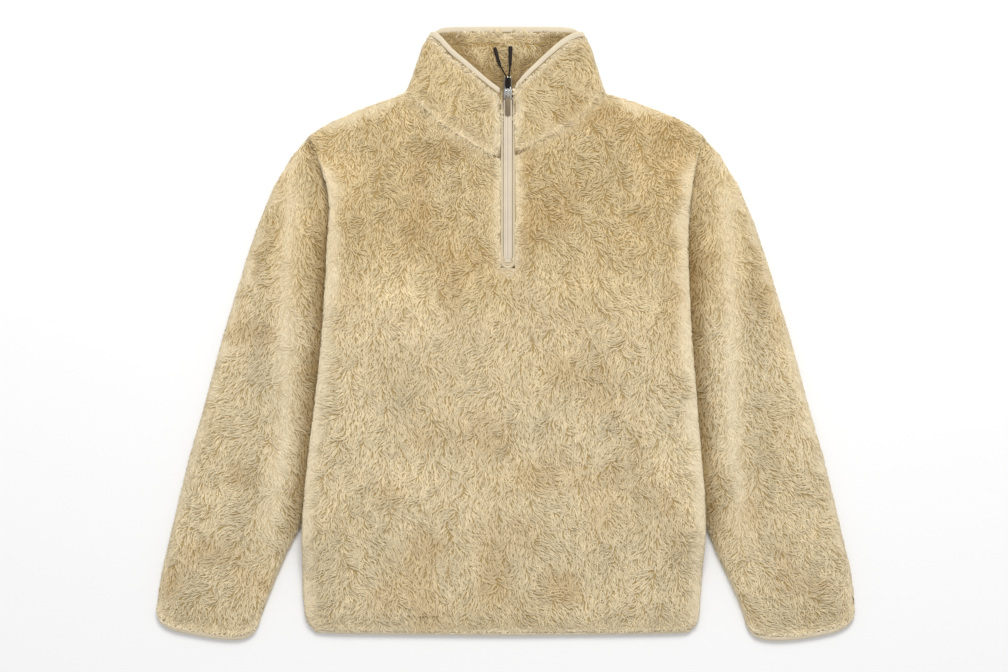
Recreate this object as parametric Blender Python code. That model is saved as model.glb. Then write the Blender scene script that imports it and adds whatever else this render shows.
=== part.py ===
"""A fleece pullover with a stand collar and a quarter zip, lying flat on its back.

X runs across the garment, Y from the hem to the collar and Z up from the surface that it
lies on. The origin is under the middle of the whole outline. Left is at -X. Sizes are in
millimetres, and MM turns them into metres.

The cloth is a deep pile fleece. Each panel is a wall of it, and the panels lie on each
other as the garment was laid out: the sleeves on the surface, and the body's sides over
the sleeves' inner edges.
"""

import math

import bmesh
import bpy
import numpy as np

MM = 0.001

# Cloth
WALL = 7.0  # knitted ground and its pile together
HEM_WALL = 3.9  # the pile is pressed down where a binding holds the edge
HEM_TAPER = 16.0
LAYER_GAP = 0.4
SEAM_GAP = 0.4
FOLD_DROP = 3.4  # how far a face falls at a folded edge
TOP_RADIUS = 15.0
UNDER_RADIUS = 7.0
SEAM_DROP = 2.2
SEAM_RADIUS = 6.0

# Body over the sleeves
LIFT = 2 * WALL + LAYER_GAP + 0.9
LIFT_MARGIN = 22.0
LIFT_SLOPE = 55.0

# Bindings
BINDING_WALL = 3.4
HEM_BINDING = 5.0
CUFF_BINDING = 7.0
COLLAR_BINDING = 8.0
BINDING_ROWS = [
    # share of its width, wall
    (0.0, BINDING_WALL),
    (0.6, BINDING_WALL),
    (1.0, BINDING_WALL - 0.7),
]
COLLAR_TAPE_ROWS = [
    # distance from the top edge as a share of its width, thickness
    (1.0, 3.2),
    (0.6, 3.9),
    (0.2, 3.6),
    (0.0, 2.2),
]

# Zip
ZIP_X = 3.0
SLIT_HALF = 9.8
SLIT_BOTTOM = 81.5
ZIP_TOP = 311.0
TAPE_Z = 10.0
TAPE_THICK = 0.8
TAPE_HALF = 5.4
CHAIN_HALF = 3.3
CHAIN_THICK = 2.2
CHAIN_BOTTOM = 95.0
CHAIN_TOP = 307.5
CHAIN_SLOPE = 0.4
STOP_HALF = 3.6
STOP_LENGTH = 4.5
STOP_GAP = 0.3
STOP_HALF_THICK = 1.3
STOP_BEVEL = 0.5
WELT_RADIUS = 1.9
WELT_OFFSET = 7.6
WELT_Z = TAPE_Z + 1.0
WELT_GAP = 0.4
WELT_HEIGHTS = [150.0, 210.0, 262.0, ZIP_TOP]

# Slider, pull loop and pull tab
SLIDER_BOTTOM = 298.5
SLIDER_TOP = 313.5
SLIDER_HALF = 5.25
PLATE = 1.0
PLATE_GAP = 0.4
BRIDGE_Z = 14.6
BRIDGE_THICK = 1.2
BRIDGE_HALF = 1.2
BRIDGE_LOW = 299.5
BRIDGE_HIGH = 311.3
BRIDGE_LEG = 1.6
BRIDGE_BEVEL = 1.0
FLANGE_GAP = 0.3
POST_HALF = 1.5
POST_GAP = 0.4
POST_INSET = 0.5
PIVOT_Y = 302.1
PIVOT_Z = 13.55
TAB_BAR_RADIUS = 0.65
TAB_HALF = 3.4
TAB_SLIT_HALF = 1.6
TAB_SLIT_END = 4.0
TAB_LENGTH = 25.5
TAB_DROOP = math.radians(3.2)
TAB_CORNER = 2.0
LOOP_WIRE = 0.75
LOOP_HALF = 4.45
LOOP_LOW = 308.6
LOOP_HIGH = 325.4
LOOP_Z = 13.5
LOOP_CORNER = 2.0

# Pull cord
CORD_RADIUS = 0.95
KNOT_Z = (12.9, 16.5)
KNOT_HALF = 3.2
KNOT_GAP = 0.35
KNOT_BEVEL = 0.9
TIP_SIDES = 12

# The body's side edges from the hem up to the shoulder points.
TORSO_EDGE = [
    # y, left x, right x
    (-376, -243.5, 236.0),
    (-371, -249.0, 241.8),
    (-360, -253.7, 245.4),
    (-338, -256.5, 247.0),
    (-290, -257.5, 250.5),
    (-237, -257.0, 253.5),
    (-161, -250.0, 248.0),
    (-84, -241.0, 242.0),
    (-8, -233.0, 236.0),
    (68, -228.0, 232.0),
    (119, -225.5, 231.0),
    (170, -223.0, 234.0),
    (197, -229.0, 238.0),
    (223, -238.0, 243.0),
    (250.5, -249.5, 250.5),
]
ARMHOLE_START = 170.0  # above this height the side edge is the armhole seam
TUCK_END = -238.0  # below this height the sleeves lie clear of the body

# The front and back hem edge, where the binding begins.
HEM_LEFT = [(-243.5, -376), (-227, -377.2), (-195, -378), (-110, -379)]
HEM_RIGHT = [(110, -379), (190, -377.9), (219, -377.2), (236, -376)]
HEM_MIDDLE = -380.0

# Shoulder lines, from the shoulder point to the neck point.
SHOULDER_LEFT = [
    (-249.5, 250.5),
    (-238, 258.5),
    (-214, 271.5),
    (-186, 284),
    (-157, 295),
    (-141, 300.7),
    (-127.6, 304.8),
]
SHOULDER_RIGHT = [
    (250.5, 250.5),
    (242, 258.5),
    (221, 271.5),
    (191, 284),
    (162, 295),
    (144, 300.8),
    (127.6, 304.8),
]

# Necklines, from the neck point to the zip, and the back neckline's dip.
NECK_LEFT = [
    (-127.6, 304.8),
    (-120.4, 303.8),
    (-111, 291.5),
    (-92, 275),
    (-62, 252.5),
    (-36, 236.5),
    (-6.8, 223),
]
NECK_RIGHT = [
    (127.6, 304.8),
    (120.4, 303.8),
    (109, 288),
    (84, 267.5),
    (58, 251.5),
    (32, 238.5),
    (12.8, 228),
]
BACK_NECK_DIP = 15.0

# Collar folds, 7 mm inside the outline, from the neck point to the top corner.
COLLAR_FOLD = [
    # y, left x, right x
    (305.3, -120.4, 120.4),
    (319.0, -114.0, 115.2),
    (340.0, -106.6, 108.8),
    (360.0, -100.2, 102.5),
    (373.0, -95.2, 98.6),
    (384.0, -90.0, 93.6),
]
COLLAR_TOP_BACK = [
    (-90.0, 384),
    (-86.5, 388),
    (-79, 390.3),
    (-62, 391),
    (-30, 391.2),
    (3, 391.2),
    (35, 391.2),
    (66, 391),
    (82, 390.4),
    (90, 388.2),
    (93.6, 384),
]
COLLAR_V_LEFT = [
    (-90.0, 384),
    (-84.5, 382.6),
    (-79.5, 375.5),
    (-68, 362),
    (-49, 347),
    (-30, 330),
    (-15, 317.5),
    (-6.8, 312),
]
COLLAR_V_RIGHT = [
    (93.6, 384),
    (87.5, 383.4),
    (79.5, 379.5),
    (63, 367.5),
    (49.4, 355),
    (37.7, 343.8),
    (26, 333),
    (12.8, 317),
]

# Sleeves: the outer edge is alike on both sides of this line, and the inner ones differ.
SLEEVE_MIRROR_X = 1.2
SLEEVE_OUTER = [
    # distance from the mirror line, y
    (445.0, -350),
    (440.3, -313),
    (435.0, -288),
    (422.5, -237),
    (410.5, -186),
    (397.0, -135),
    (381.5, -84),
    (369.0, -34),
    (354.0, 17),
    (338.5, 68),
    (322.5, 119),
    (303.0, 170),
    (291.3, 195),
    (276.8, 219.5),
    (267.3, 232.5),
    (257.6, 244.8),
    (251.2, 250.5),
]
SLEEVE_INNER = [
    # y, left distance, right distance
    (-366, 314.6, 304.3),
    (-338, 304.0, 294.5),
    (-288, 283.8, 271.5),
    (-237, 258.5, 250.5),
    (-167, 226.0, 219.0),
    (-97, 193.0, 188.0),
    (-40, 167.0, 164.0),
    (11, 145.0, 144.0),
]
CUFF_LEFT = [
    (445.3, -350),
    (442.6, -360),
    (432.5, -369),
    (407, -375.5),
    (347, -384),
    (332, -383.5),
    (321.5, -377),
    (314.6, -366),
]
CUFF_RIGHT = [
    (443.0, -350),
    (440.2, -360.5),
    (430.5, -370),
    (406, -377.2),
    (334, -384.8),
    (319.5, -383.5),
    (310.3, -376),
    (304.3, -366),
]
ARMHOLE_LEFT = [
    (251.2, 250.5),
    (239.8, 223),
    (230.9, 197),
    (225.1, 169),
    (216.5, 131),
    (196, 81),
    (170.5, 39),
    (145, 11),
]
ARMHOLE_RIGHT = [
    (249.9, 250.5),
    (242.6, 223),
    (237.9, 197),
    (233.9, 169),
    (221, 131),
    (197, 81),
    (170, 39),
    (144, 11),
]
SLEEVE_LOFT = 3.3  # the soft ridge along the upper layer
LOFT_WIDTH = 46.0
LOFT_FREE_WIDTH = 34.0
LOFT_CUFF_END = 80.0
LOFT_ARMHOLE_END = 0.2  # as a share of the sleeve's length
ARMHOLE_THINNING = 1.2
ARMHOLE_THINNING_SHARE = 0.05
TUBE_EDGE = 1.4  # half the height that is left upright at a flattened tube's fold

# Steps of the grids, as shares of their lengths.
SIDE_STEPS = [0, 0.013, 0.036, 0.071, 0.14, 0.22, 0.31, 0.45, 0.48, 0.53, 0.62, 0.72, 0.82, 0.91, 0.965, 1]
NECK_POINT_STEP = 0.45
LOWER_EDGE_STEPS = [0, 0.007, 0.02, 0.045]
LOWER_STEPS = LOWER_EDGE_STEPS + [round(0.1 + 0.07 * k, 2) for k in range(13)] + [1]
UPPER_STEPS = [0, 0.15, 0.3, 0.45, 0.6, 0.74, 0.86, 0.93, 0.975, 1]
SLEEVE_ROUND_STEPS = [0, 0.02, 0.055, 0.12, 0.22, 0.35, 0.5, 0.65, 0.78, 0.88, 0.945, 0.98, 1]
SLEEVE_CUFF_STEPS = [0, 0.012, 0.035, 0.08, 0.15, 0.23, 0.31]
SLEEVE_LONG_STEPS = SLEEVE_CUFF_STEPS + [0.4, 0.48, 0.56, 0.64, 0.72, 0.8, 0.88, 0.95, 1]
COLLAR_BACK_STEPS = [0, 0.05, 0.15, 0.3, 0.5, 0.7, 0.85, 0.95, 1]
COLLAR_SEAM_DROP = 1.4
COLLAR_SEAM_SHARE = 0.08
COLLAR_PRESSED_SHARE = 0.16
COLLAR_HIGH_STEPS = [0, 0.05, 0.13, 0.35, 0.62, 0.85, 0.94, 1]
FOLD_ANGLES = [60, 30, 0, -30, -60]


def srgb(red, green, blue):
    """A colour seen as these 0 to 255 values, in linear light."""
    shares = [value / 255 for value in (red, green, blue)]
    return [s / 12.92 if s <= 0.04045 else ((s + 0.055) / 1.055) ** 2.4 for s in shares]


MATERIALS = {
    # name: colour, roughness, metallic
    "fleece": (srgb(202, 181, 141), 0.95, 0.0),
    "binding_tape": (srgb(222, 204, 170), 0.8, 0.0),
    "zip_fabric": (srgb(222, 208, 188), 0.7, 0.0),
    "bright_metal": (srgb(196, 194, 190), 0.28, 1.0),
    "dull_metal": (srgb(150, 134, 110), 0.45, 1.0),
    "cord": (srgb(32, 28, 27), 0.8, 0.0),
    "tip_plastic": (srgb(40, 33, 32), 0.4, 0.0),
}


def clear_scene():
    for item in list(bpy.data.objects):
        bpy.data.objects.remove(item, do_unlink=True)


def make_collections():
    parts = bpy.data.collections.new("fleece_pullover")
    cutters = bpy.data.collections.new("cutters")
    for group in (parts, cutters):
        bpy.context.scene.collection.children.link(group)
    return parts, cutters


def material(name):
    found = bpy.data.materials.get(name)
    if found:
        return found
    colour, roughness, metallic = MATERIALS[name]
    made = bpy.data.materials.new(name)
    made.use_nodes = True
    shader = made.node_tree.nodes["Principled BSDF"]
    shader.inputs["Base Color"].default_value = (*colour, 1)
    shader.inputs["Roughness"].default_value = roughness
    shader.inputs["Metallic"].default_value = metallic
    return made


def add_part(name, data, look, group):
    """A named object in its collection, with its material."""
    part = bpy.data.objects.new(name, data)
    part.data.materials.clear()
    part.data.materials.append(material(look))
    group.objects.link(part)
    return part


def mesh_part(name, bm, look, group, sharp=40):
    """An object from a bmesh in millimetres, shaded smooth with sharp edges over an angle."""
    bmesh.ops.recalc_face_normals(bm, faces=bm.faces)
    bmesh.ops.scale(bm, vec=(MM, MM, MM), verts=bm.verts)
    mesh = bpy.data.meshes.new(name)
    bm.to_mesh(mesh)
    bm.free()
    mesh.shade_smooth()
    mesh.set_sharp_from_angle(angle=math.radians(sharp))
    return add_part(name, mesh, look, group)


def curve(points, shares):
    """Points at the given shares of the length of a smooth curve through points."""
    p = np.array(points, float)
    t = np.concatenate([[0], np.cumsum(np.linalg.norm(np.diff(p, axis=0), axis=1))])
    slope = np.gradient(p, t, axis=0)
    s = np.linspace(0, t[-1], 800)
    k = np.clip(np.searchsorted(t, s, side="right") - 1, 0, len(t) - 2)
    h = (t[k + 1] - t[k])[:, None]
    q = (s - t[k])[:, None] / h
    dense = (2 * q**3 - 3 * q**2 + 1) * p[k] + (q**3 - 2 * q**2 + q) * h * slope[k]
    dense += (3 * q**2 - 2 * q**3) * p[k + 1] + (q**3 - q**2) * h * slope[k + 1]
    return along(dense, shares)


def along(line, shares):
    """Points at the given shares of a polyline's length."""
    line = np.array(line, float)
    step = np.linalg.norm(np.diff(line, axis=0), axis=1)
    length = np.concatenate([[0], np.cumsum(step)])
    at = np.array(shares) * length[-1]
    return np.column_stack([np.interp(at, length, column) for column in line.T])


def patch(bottom, top, left, right, across, up):
    """The plan grid of a four-sided patch: rows run from bottom to top, points left to right."""
    u = np.array(across)[None, :, None]
    v = np.array(up)[:, None, None]
    rows = (1 - v) * bottom[None] + v * top[None]
    columns = (1 - u) * left[:, None] + u * right[:, None]
    corners = (1 - u) * ((1 - v) * bottom[0] + v * top[0])
    corners = corners + u * ((1 - v) * bottom[-1] + v * top[-1])
    return rows + columns - corners


def rounding(distance, radius):
    """1 at an edge and 0 from radius inwards, falling as a quarter circle does."""
    inward = np.clip(distance / radius, 0, 1)
    return 1 - np.sqrt(1 - (1 - inward) ** 2)


def ease(value):
    """A smooth step from 0 to 1."""
    share = np.clip(value, 0, 1)
    return share * share * (3 - 2 * share)


def distance_to_line(points, line):
    """The shortest distance from each plan point to a polyline."""
    points = np.array(points, float)
    line = np.array(line, float)
    start = line[:-1]
    step = line[1:] - start
    span = np.maximum((step**2).sum(1), 1e-12)
    offset = points[:, None] - start[None]
    share = np.clip((offset * step).sum(2) / span, 0, 1)
    nearest = offset - share[:, :, None] * step
    return np.sqrt((nearest**2).sum(2)).min(1)


def inside(points, polygon):
    """Which plan points lie in a closed polygon."""
    x, y = np.array(points, float).T
    found = np.zeros(len(x), bool)
    for (x0, y0), (x1, y1) in zip(polygon, np.roll(polygon, -1, axis=0)):
        crosses = (y0 > y) != (y1 > y)
        if y0 != y1:
            found ^= crosses & (x < (x1 - x0) * (y - y0) / (y1 - y0) + x0)
    return found


def sleeve_edges(side):
    """The plan curves of one sleeve: outer edge, inner edge, cuff and armhole."""
    column = 1 if side < 0 else 2
    outer = [(SLEEVE_MIRROR_X + side * d, y) for d, y in SLEEVE_OUTER]
    inner = [(SLEEVE_MIRROR_X + side * row[column], row[0]) for row in SLEEVE_INNER]
    cuff = CUFF_LEFT if side < 0 else CUFF_RIGHT
    armhole = ARMHOLE_LEFT if side < 0 else ARMHOLE_RIGHT
    cuff = [(SLEEVE_MIRROR_X + side * d, y) for d, y in cuff]
    armhole = [(SLEEVE_MIRROR_X + side * d, y) for d, y in armhole]
    outer[0], outer[-1] = cuff[0], armhole[0]
    inner[0], inner[-1] = cuff[-1], armhole[-1]
    return outer, inner, cuff, armhole


def tucked_region(side):
    """The part of a sleeve that lies under the body, closed outside the body's edge."""
    _, inner, _, armhole = sleeve_edges(side)
    under = [p for p in armhole if p[1] <= ARMHOLE_START]
    fold = [p for p in reversed(inner) if p[1] >= TUCK_END]
    far = side * 300.0
    return np.array(under + fold[1:] + [(far, fold[-1][1]), (far, under[0][1])])


def lift(points):
    """How far the body's underside is above the surface."""
    height = np.zeros(len(points))
    for side in (-1, 1):
        region = tucked_region(side)
        away = distance_to_line(points, np.vstack([region, region[:1]]))
        away[inside(points, region)] = 0
        height = np.maximum(height, LIFT * ease(1 - (away - LIFT_MARGIN) / LIFT_SLOPE))
    return height


class Plan:
    """A flat grid of triangles, welded from patches."""

    def __init__(self):
        self.points = []
        self.faces = []
        self.index = {}

    def point(self, place):
        key = (round(place[0], 3), round(place[1], 3))
        if key not in self.index:
            self.index[key] = len(self.points)
            self.points.append(key)
        return self.index[key]

    def add(self, grid):
        number = [[self.point(place) for place in row] for row in grid]
        for low, high in zip(number[:-1], number[1:]):
            for k in range(len(low) - 1):
                for face in ((low[k], low[k + 1], high[k + 1]), (low[k], high[k + 1], high[k])):
                    if len(set(face)) == 3:
                        self.faces.append(face)

    def solid(self, bottom, top):
        """A closed body between two heights over the grid, made by extruding it."""
        bm = bmesh.new()
        low = [bm.verts.new((x, y, z)) for (x, y), z in zip(self.points, bottom)]
        for face in self.faces:
            bm.faces.new([low[k] for k in face])
        number = {vert.co.to_tuple(2): k for k, vert in enumerate(low)}
        made = bmesh.ops.extrude_face_region(bm, geom=bm.faces[:])["geom"]
        for vert in made:
            if isinstance(vert, bmesh.types.BMVert):
                vert.co.z = top[number[vert.co.to_tuple(2)]]
        return bm


def edge_curve(column, low, high):
    """The body's side edge between two heights."""
    rows = [row for row in TORSO_EDGE if low <= row[0] <= high]
    heights = [row[0] for row in TORSO_EDGE]
    places = [row[column] for row in TORSO_EDGE]
    points = [(row[column], row[0]) for row in rows]
    for y in (low, high):
        if all(abs(y - p[1]) > 1 for p in points):
            points.append((float(np.interp(y, heights, places)), y))
    return sorted(points, key=lambda p: p[1])


def neck_shares():
    """The columns of half a panel that end on the neckline, as shares of the neckline."""
    width = 1 - NECK_POINT_STEP
    return [(s - NECK_POINT_STEP) / width for s in SIDE_STEPS if s > NECK_POINT_STEP]


def body_grids():
    """The patches of the body: those of both panels, and the upper middle of the back alone."""
    slit = (ZIP_X - SLIT_HALF, ZIP_X + SLIT_HALF)
    middle_steps = [0, 0.5, 1]
    hem = {
        -1: curve(HEM_LEFT + [(slit[0], HEM_MIDDLE)], SIDE_STEPS),
        1: curve([(slit[1], HEM_MIDDLE)] + HEM_RIGHT, [1 - s for s in SIDE_STEPS[::-1]]),
    }
    upper_share = [s / NECK_POINT_STEP for s in SIDE_STEPS if s <= NECK_POINT_STEP]
    both = []
    for side, column in ((-1, 1), (1, 2)):
        steps = SIDE_STEPS if side < 0 else [1 - s for s in SIDE_STEPS[::-1]]
        order = slice(None) if side < 0 else slice(None, None, -1)
        slit_x = slit[0] if side < 0 else slit[1]
        outer_low = curve(edge_curve(column, TORSO_EDGE[0][0], SLIT_BOTTOM), LOWER_STEPS)
        outer_high = curve(edge_curve(column, SLIT_BOTTOM, TORSO_EDGE[-1][0]), UPPER_STEPS)
        shoulder = curve(SHOULDER_LEFT if side < 0 else SHOULDER_RIGHT, upper_share)
        neck = curve(NECK_LEFT if side < 0 else NECK_RIGHT, [0] + neck_shares())[1:]
        top = np.vstack([shoulder, neck])[order]
        level = np.array([(outer_low[-1][0], SLIT_BOTTOM), (slit_x, SLIT_BOTTOM)])[order]
        level = along(level, steps)
        slit_low = along([(slit_x, HEM_MIDDLE), (slit_x, SLIT_BOTTOM)], LOWER_STEPS)
        slit_high = along([(slit_x, SLIT_BOTTOM), (slit_x, neck[-1][1])], UPPER_STEPS)
        lower = (outer_low, slit_low) if side < 0 else (slit_low, outer_low)
        upper = (outer_high, slit_high) if side < 0 else (slit_high, outer_high)
        both.append(patch(hem[side], level, *lower, steps, LOWER_STEPS))
        both.append(patch(level, top, *upper, steps, UPPER_STEPS))
    left, right = both[0][:, -1], both[2][:, 0]
    both.append(np.stack([left + s * (right - left) for s in middle_steps], axis=1))
    left, right = both[1][:, -1], both[3][:, 0]
    middle = np.stack([left + s * (right - left) for s in middle_steps], axis=1)
    return both, middle


def back_neck(x):
    """The back neckline's height at x."""
    return SHOULDER_LEFT[-1][1] - BACK_NECK_DIP * (1 - (x / SHOULDER_LEFT[-1][0]) ** 2)


def back_yoke(both, middle):
    """The back's patch above the front neckline, up to the back neckline."""
    start = SIDE_STEPS.index(NECK_POINT_STEP)
    left = both[1][-1][start:]
    right = both[3][-1][: len(SIDE_STEPS) - start]
    lower = np.vstack([left, middle[-1][1:-1], right])
    x = np.linspace(lower[0][0], lower[-1][0], len(lower))
    upper = np.column_stack([x, back_neck(x)])
    rows = [lower + s * (upper - lower) for s in (0, 0.33, 0.66, 0.9, 1)]
    return np.stack(rows)


def body_heights(points, folds, seams, hem_line):
    """Bottom and top heights of the back, then of the front, over the plan points."""
    points = np.array(points)
    fold = np.min([distance_to_line(points, line) for line in folds], axis=0)
    seam = np.min([distance_to_line(points, line) for line in seams], axis=0)
    hem = distance_to_line(points, hem_line)
    thick = WALL - (WALL - HEM_WALL) * ease(1 - hem / HEM_TAPER)
    raised = lift(points)
    under = FOLD_DROP * rounding(fold, UNDER_RADIUS)
    over = FOLD_DROP * rounding(fold, TOP_RADIUS)
    seam_fall = SEAM_DROP * rounding(seam, SEAM_RADIUS)
    share = thick / WALL
    back_bottom = raised + under * share
    back_top = raised + thick
    front_bottom = back_top + LAYER_GAP
    front_top = front_bottom + thick - np.maximum(over * share, seam_fall)
    return back_bottom, back_top, front_bottom, front_top


def build_body(group):
    """The front and back panels, on one plan grid so that they lie face to face."""
    both, middle = body_grids()
    left_low, left_high, right_low, right_high, centre = both
    slit_left = left_high[:, -1]
    slit_right = right_high[:, 0]
    start = SIDE_STEPS.index(NECK_POINT_STEP)
    last = len(SIDE_STEPS) - start
    armhole_row = int(np.searchsorted(left_high[:, 0, 1], ARMHOLE_START))
    folds = [
        np.vstack([left_low[:, 0], left_high[: armhole_row + 1, 0]]),
        np.vstack([right_low[:, -1], right_high[: armhole_row + 1, -1]]),
        left_high[-1][: start + 1],
        right_high[-1][last - 1 :],
    ]
    armholes = [left_high[armhole_row:, 0], right_high[armhole_row:, -1]]
    slit = [slit_left, slit_right, centre[-1]]
    necks = [left_high[-1][start:], right_high[-1][:last]]
    hem = np.vstack([left_low[0], centre[0], right_low[0]])

    front = Plan()
    for grid in both:
        front.add(grid)
    _, _, low, high = body_heights(front.points, folds, armholes + slit + necks, hem)
    mesh_part("front_panel", front.solid(low, high), "fleece", group)

    back = Plan()
    for grid in both + [middle, back_yoke(both, middle)]:
        back.add(grid)
    low, high, _, _ = body_heights(back.points, folds, armholes, hem)
    mesh_part("back_panel", back.solid(low, high), "fleece", group)
    return hem


def loft(outer, inner, closed):
    """A wall between two nets of points: nets[row][place]. Closed walls run round as a tube."""
    rows, places = len(outer), len(outer[0])
    bm = bmesh.new()
    out = [[bm.verts.new(p) for p in row] for row in outer]
    back = [[bm.verts.new(p) for p in row] for row in inner]
    spans = range(places) if closed else range(places - 1)

    def quad(a, b, c, d):
        bm.faces.new((a, b, c))
        bm.faces.new((a, c, d))

    for r in range(rows - 1):
        for k in spans:
            n = (k + 1) % places
            quad(out[r][k], out[r][n], out[r + 1][n], out[r + 1][k])
            quad(back[r][k], back[r + 1][k], back[r + 1][n], back[r][n])
        if not closed:
            quad(out[r][0], out[r + 1][0], back[r + 1][0], back[r][0])
            quad(out[r][-1], back[r][-1], back[r + 1][-1], out[r + 1][-1])
    for k in spans:
        n = (k + 1) % places
        quad(out[0][k], back[0][k], back[0][n], out[0][n])
        quad(out[-1][k], out[-1][n], back[-1][n], back[-1][k])
    return bm


def flat_ring(line, wall, loft_height):
    """The outer and inner loops of a flattened tube whose plan section is line."""
    line = np.array(line, float)
    step = np.linalg.norm(np.diff(line, axis=0), axis=1)
    s = np.concatenate([[0], np.cumsum(step)])
    width = s[-1]
    edge = np.minimum(s, width - s)
    height = 2 * wall + LAYER_GAP
    drop = height / 2 - TUBE_EDGE
    top = height - drop * rounding(edge, min(TOP_RADIUS, width / 3)) + loft_height
    bottom = drop * rounding(edge, UNDER_RADIUS)
    inset = np.interp(s, [0, width], [wall, width - wall])
    hollow = along(line, inset / width)
    near = ease(np.minimum(inset - wall, width - wall - inset) / (2 * wall))
    half = LAYER_GAP / 2 * (0.3 + 0.7 * near)
    raised = np.interp(inset, s, loft_height)
    middle = np.full(len(line), height / 2)
    over = np.column_stack([line, top])
    under = np.column_stack([line, bottom])[::-1]
    inner_over = np.column_stack([hollow, middle + half + raised * near])
    inner_under = np.column_stack([hollow, middle - half])[::-1]
    return np.vstack([over, under]), np.vstack([inner_over, inner_under])


def build_sleeve(name, side, group):
    """A sleeve: rings from the cuff to the armhole, laid flat, with a soft ridge on top."""
    outer, inner, cuff, armhole = sleeve_edges(side)
    across, up = SLEEVE_ROUND_STEPS, SLEEVE_LONG_STEPS
    cuff_line = curve(cuff, across)
    grid = patch(
        cuff_line,
        curve(armhole, across),
        curve(outer, up),
        curve(inner, up),
        across,
        up,
    )
    outer_rings, inner_rings = [], []
    edge_points = [(row[1 if side < 0 else 2], row[0]) for row in TORSO_EDGE]
    for line, share in zip(grid, up):
        from_cuff = distance_to_line(line, cuff_line).min()
        wall = WALL - (WALL - HEM_WALL) * float(ease(1 - from_cuff / HEM_TAPER))
        near_armhole = float(ease(1 - (1 - share) / ARMHOLE_THINNING_SHARE))
        wall -= ARMHOLE_THINNING * near_armhole
        covered = np.minimum(distance_to_line(line, edge_points) / LOFT_FREE_WIDTH, 1)
        edge_x = np.interp(line[:, 1], [p[1] for p in edge_points], [p[0] for p in edge_points])
        covered = np.where(side * line[:, 0] > side * edge_x, covered, 0)
        step = np.linalg.norm(np.diff(line, axis=0), axis=1)
        from_outer = np.concatenate([[0], np.cumsum(step)])
        from_fold = np.minimum(from_outer, from_outer[-1] - from_outer) / LOFT_WIDTH
        ends = ease(from_cuff / LOFT_CUFF_END) * ease((1 - share) / LOFT_ARMHOLE_END)
        ridge = SLEEVE_LOFT * ease(from_fold) * ease(covered) * ends
        ring = flat_ring(line, wall, ridge)
        outer_rings.append(ring[0])
        inner_rings.append(ring[1])
    mesh_part(name, loft(outer_rings, inner_rings, True), "fleece", group)
    return cuff_line


def build_edge_binding(name, line, away, width, group):
    """A flattened loop of tape beyond a cut edge: line is the edge, away its outward direction."""
    away = np.array(away, float) / np.linalg.norm(away)
    outer_rings, inner_rings = [], []
    step = np.linalg.norm(np.diff(line, axis=0), axis=1)
    line = np.vstack([line[:1], line[1:][step > 0.01]])
    slope = np.gradient(line, axis=0)
    normal = np.column_stack([slope[:, 1], -slope[:, 0]])
    normal /= np.linalg.norm(normal, axis=1)[:, None]
    normal *= np.sign(normal[len(line) // 2] @ away)
    for share, wall in BINDING_ROWS:
        moved = line + normal * SEAM_GAP + away * share * (width - SEAM_GAP)
        middle = moved.mean(0)
        narrow = 1 - 2 * share / np.ptp(line[:, 0])
        moved = middle + (moved - middle) * narrow
        ring = flat_ring(moved, wall, np.zeros(len(moved)))
        outer_rings.append(ring[0])
        inner_rings.append(ring[1])
    mesh_part(name, loft(outer_rings, inner_rings, True), "binding_tape", group)


def collar_lines():
    """Plan lines of the collar from its neck seam to its top edge, with each one's height."""
    fronts = {}
    folds = {}
    dense = np.linspace(0, 1, 41)
    for side, column in ((-1, 1), (1, 2)):
        fold = curve([(row[column], row[0]) for row in COLLAR_FOLD], dense)
        neck = curve(NECK_LEFT if side < 0 else NECK_RIGHT, [0] + neck_shares())[1:]
        low = np.vstack([fold[:1], neck + [0, SEAM_GAP]])
        step = np.linalg.norm(np.diff(low, axis=0), axis=1)
        across = np.concatenate([[0], np.cumsum(step)]) / step.sum()
        high = curve(COLLAR_V_LEFT if side < 0 else COLLAR_V_RIGHT, across)
        edge = along([low[-1], high[-1]], dense)
        fronts[side] = patch(low, high, fold, edge, across, dense)
        folds[side] = fold
    left, right = folds[-1], folds[1]
    x = left[0][0] + np.array(COLLAR_BACK_STEPS) * (right[0][0] - left[0][0])
    low = np.column_stack([x, back_neck(x) + SEAM_GAP])
    low[0], low[-1] = left[0], right[0]
    back = patch(low, curve(COLLAR_TOP_BACK, COLLAR_BACK_STEPS), left, right, COLLAR_BACK_STEPS, dense)
    return fronts, back, folds


def collar_path():
    """For each place along the collar: its plan line, height and outward direction in X and Z."""
    fronts, back, folds = collar_lines()
    low_z = WALL / 2
    high_z = WALL + LAYER_GAP + WALL / 2
    bend = (high_z - low_z) / 2
    path = []
    for k in range(fronts[-1].shape[1] - 1, -1, -1):
        path.append((fronts[-1][:, k], high_z, (0, 1)))
    path += round_fold(folds[-1], -1, low_z + bend, bend, FOLD_ANGLES)
    for k in range(len(COLLAR_BACK_STEPS)):
        path.append((back[:, k], low_z, (0, -1)))
    path += round_fold(folds[1], 1, low_z + bend, bend, FOLD_ANGLES[::-1])
    for k in range(fronts[1].shape[1]):
        path.append((fronts[1][:, k], high_z, (0, 1)))
    return path


def round_fold(fold, side, z, bend, angles):
    """The lines round a folded edge of the collar."""
    lines = []
    for angle in angles:
        c, s = math.cos(math.radians(angle)), math.sin(math.radians(angle))
        lines.append((fold + [side * bend * c, 0], z + bend * s, (side * c, s)))
    return lines


def collar_wall(path, spans):
    """Outer and inner nets of a strip of the collar. Spans give share, end distance and wall."""
    outer, inner = [], []
    for share, from_top, thick in spans:
        out_row, in_row = [], []
        for line, z, (nx, nz) in path:
            length = np.linalg.norm(np.diff(line, axis=0), axis=1).sum()
            at = along(line, [share * (length - from_top) / length])[0]
            out_row.append((at[0] + nx * thick / 2, at[1], z + nz * thick / 2))
            in_row.append((at[0] - nx * thick / 2, at[1], z - nz * thick / 2))
        outer.append(out_row)
        inner.append(in_row)
    return outer, inner


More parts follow.
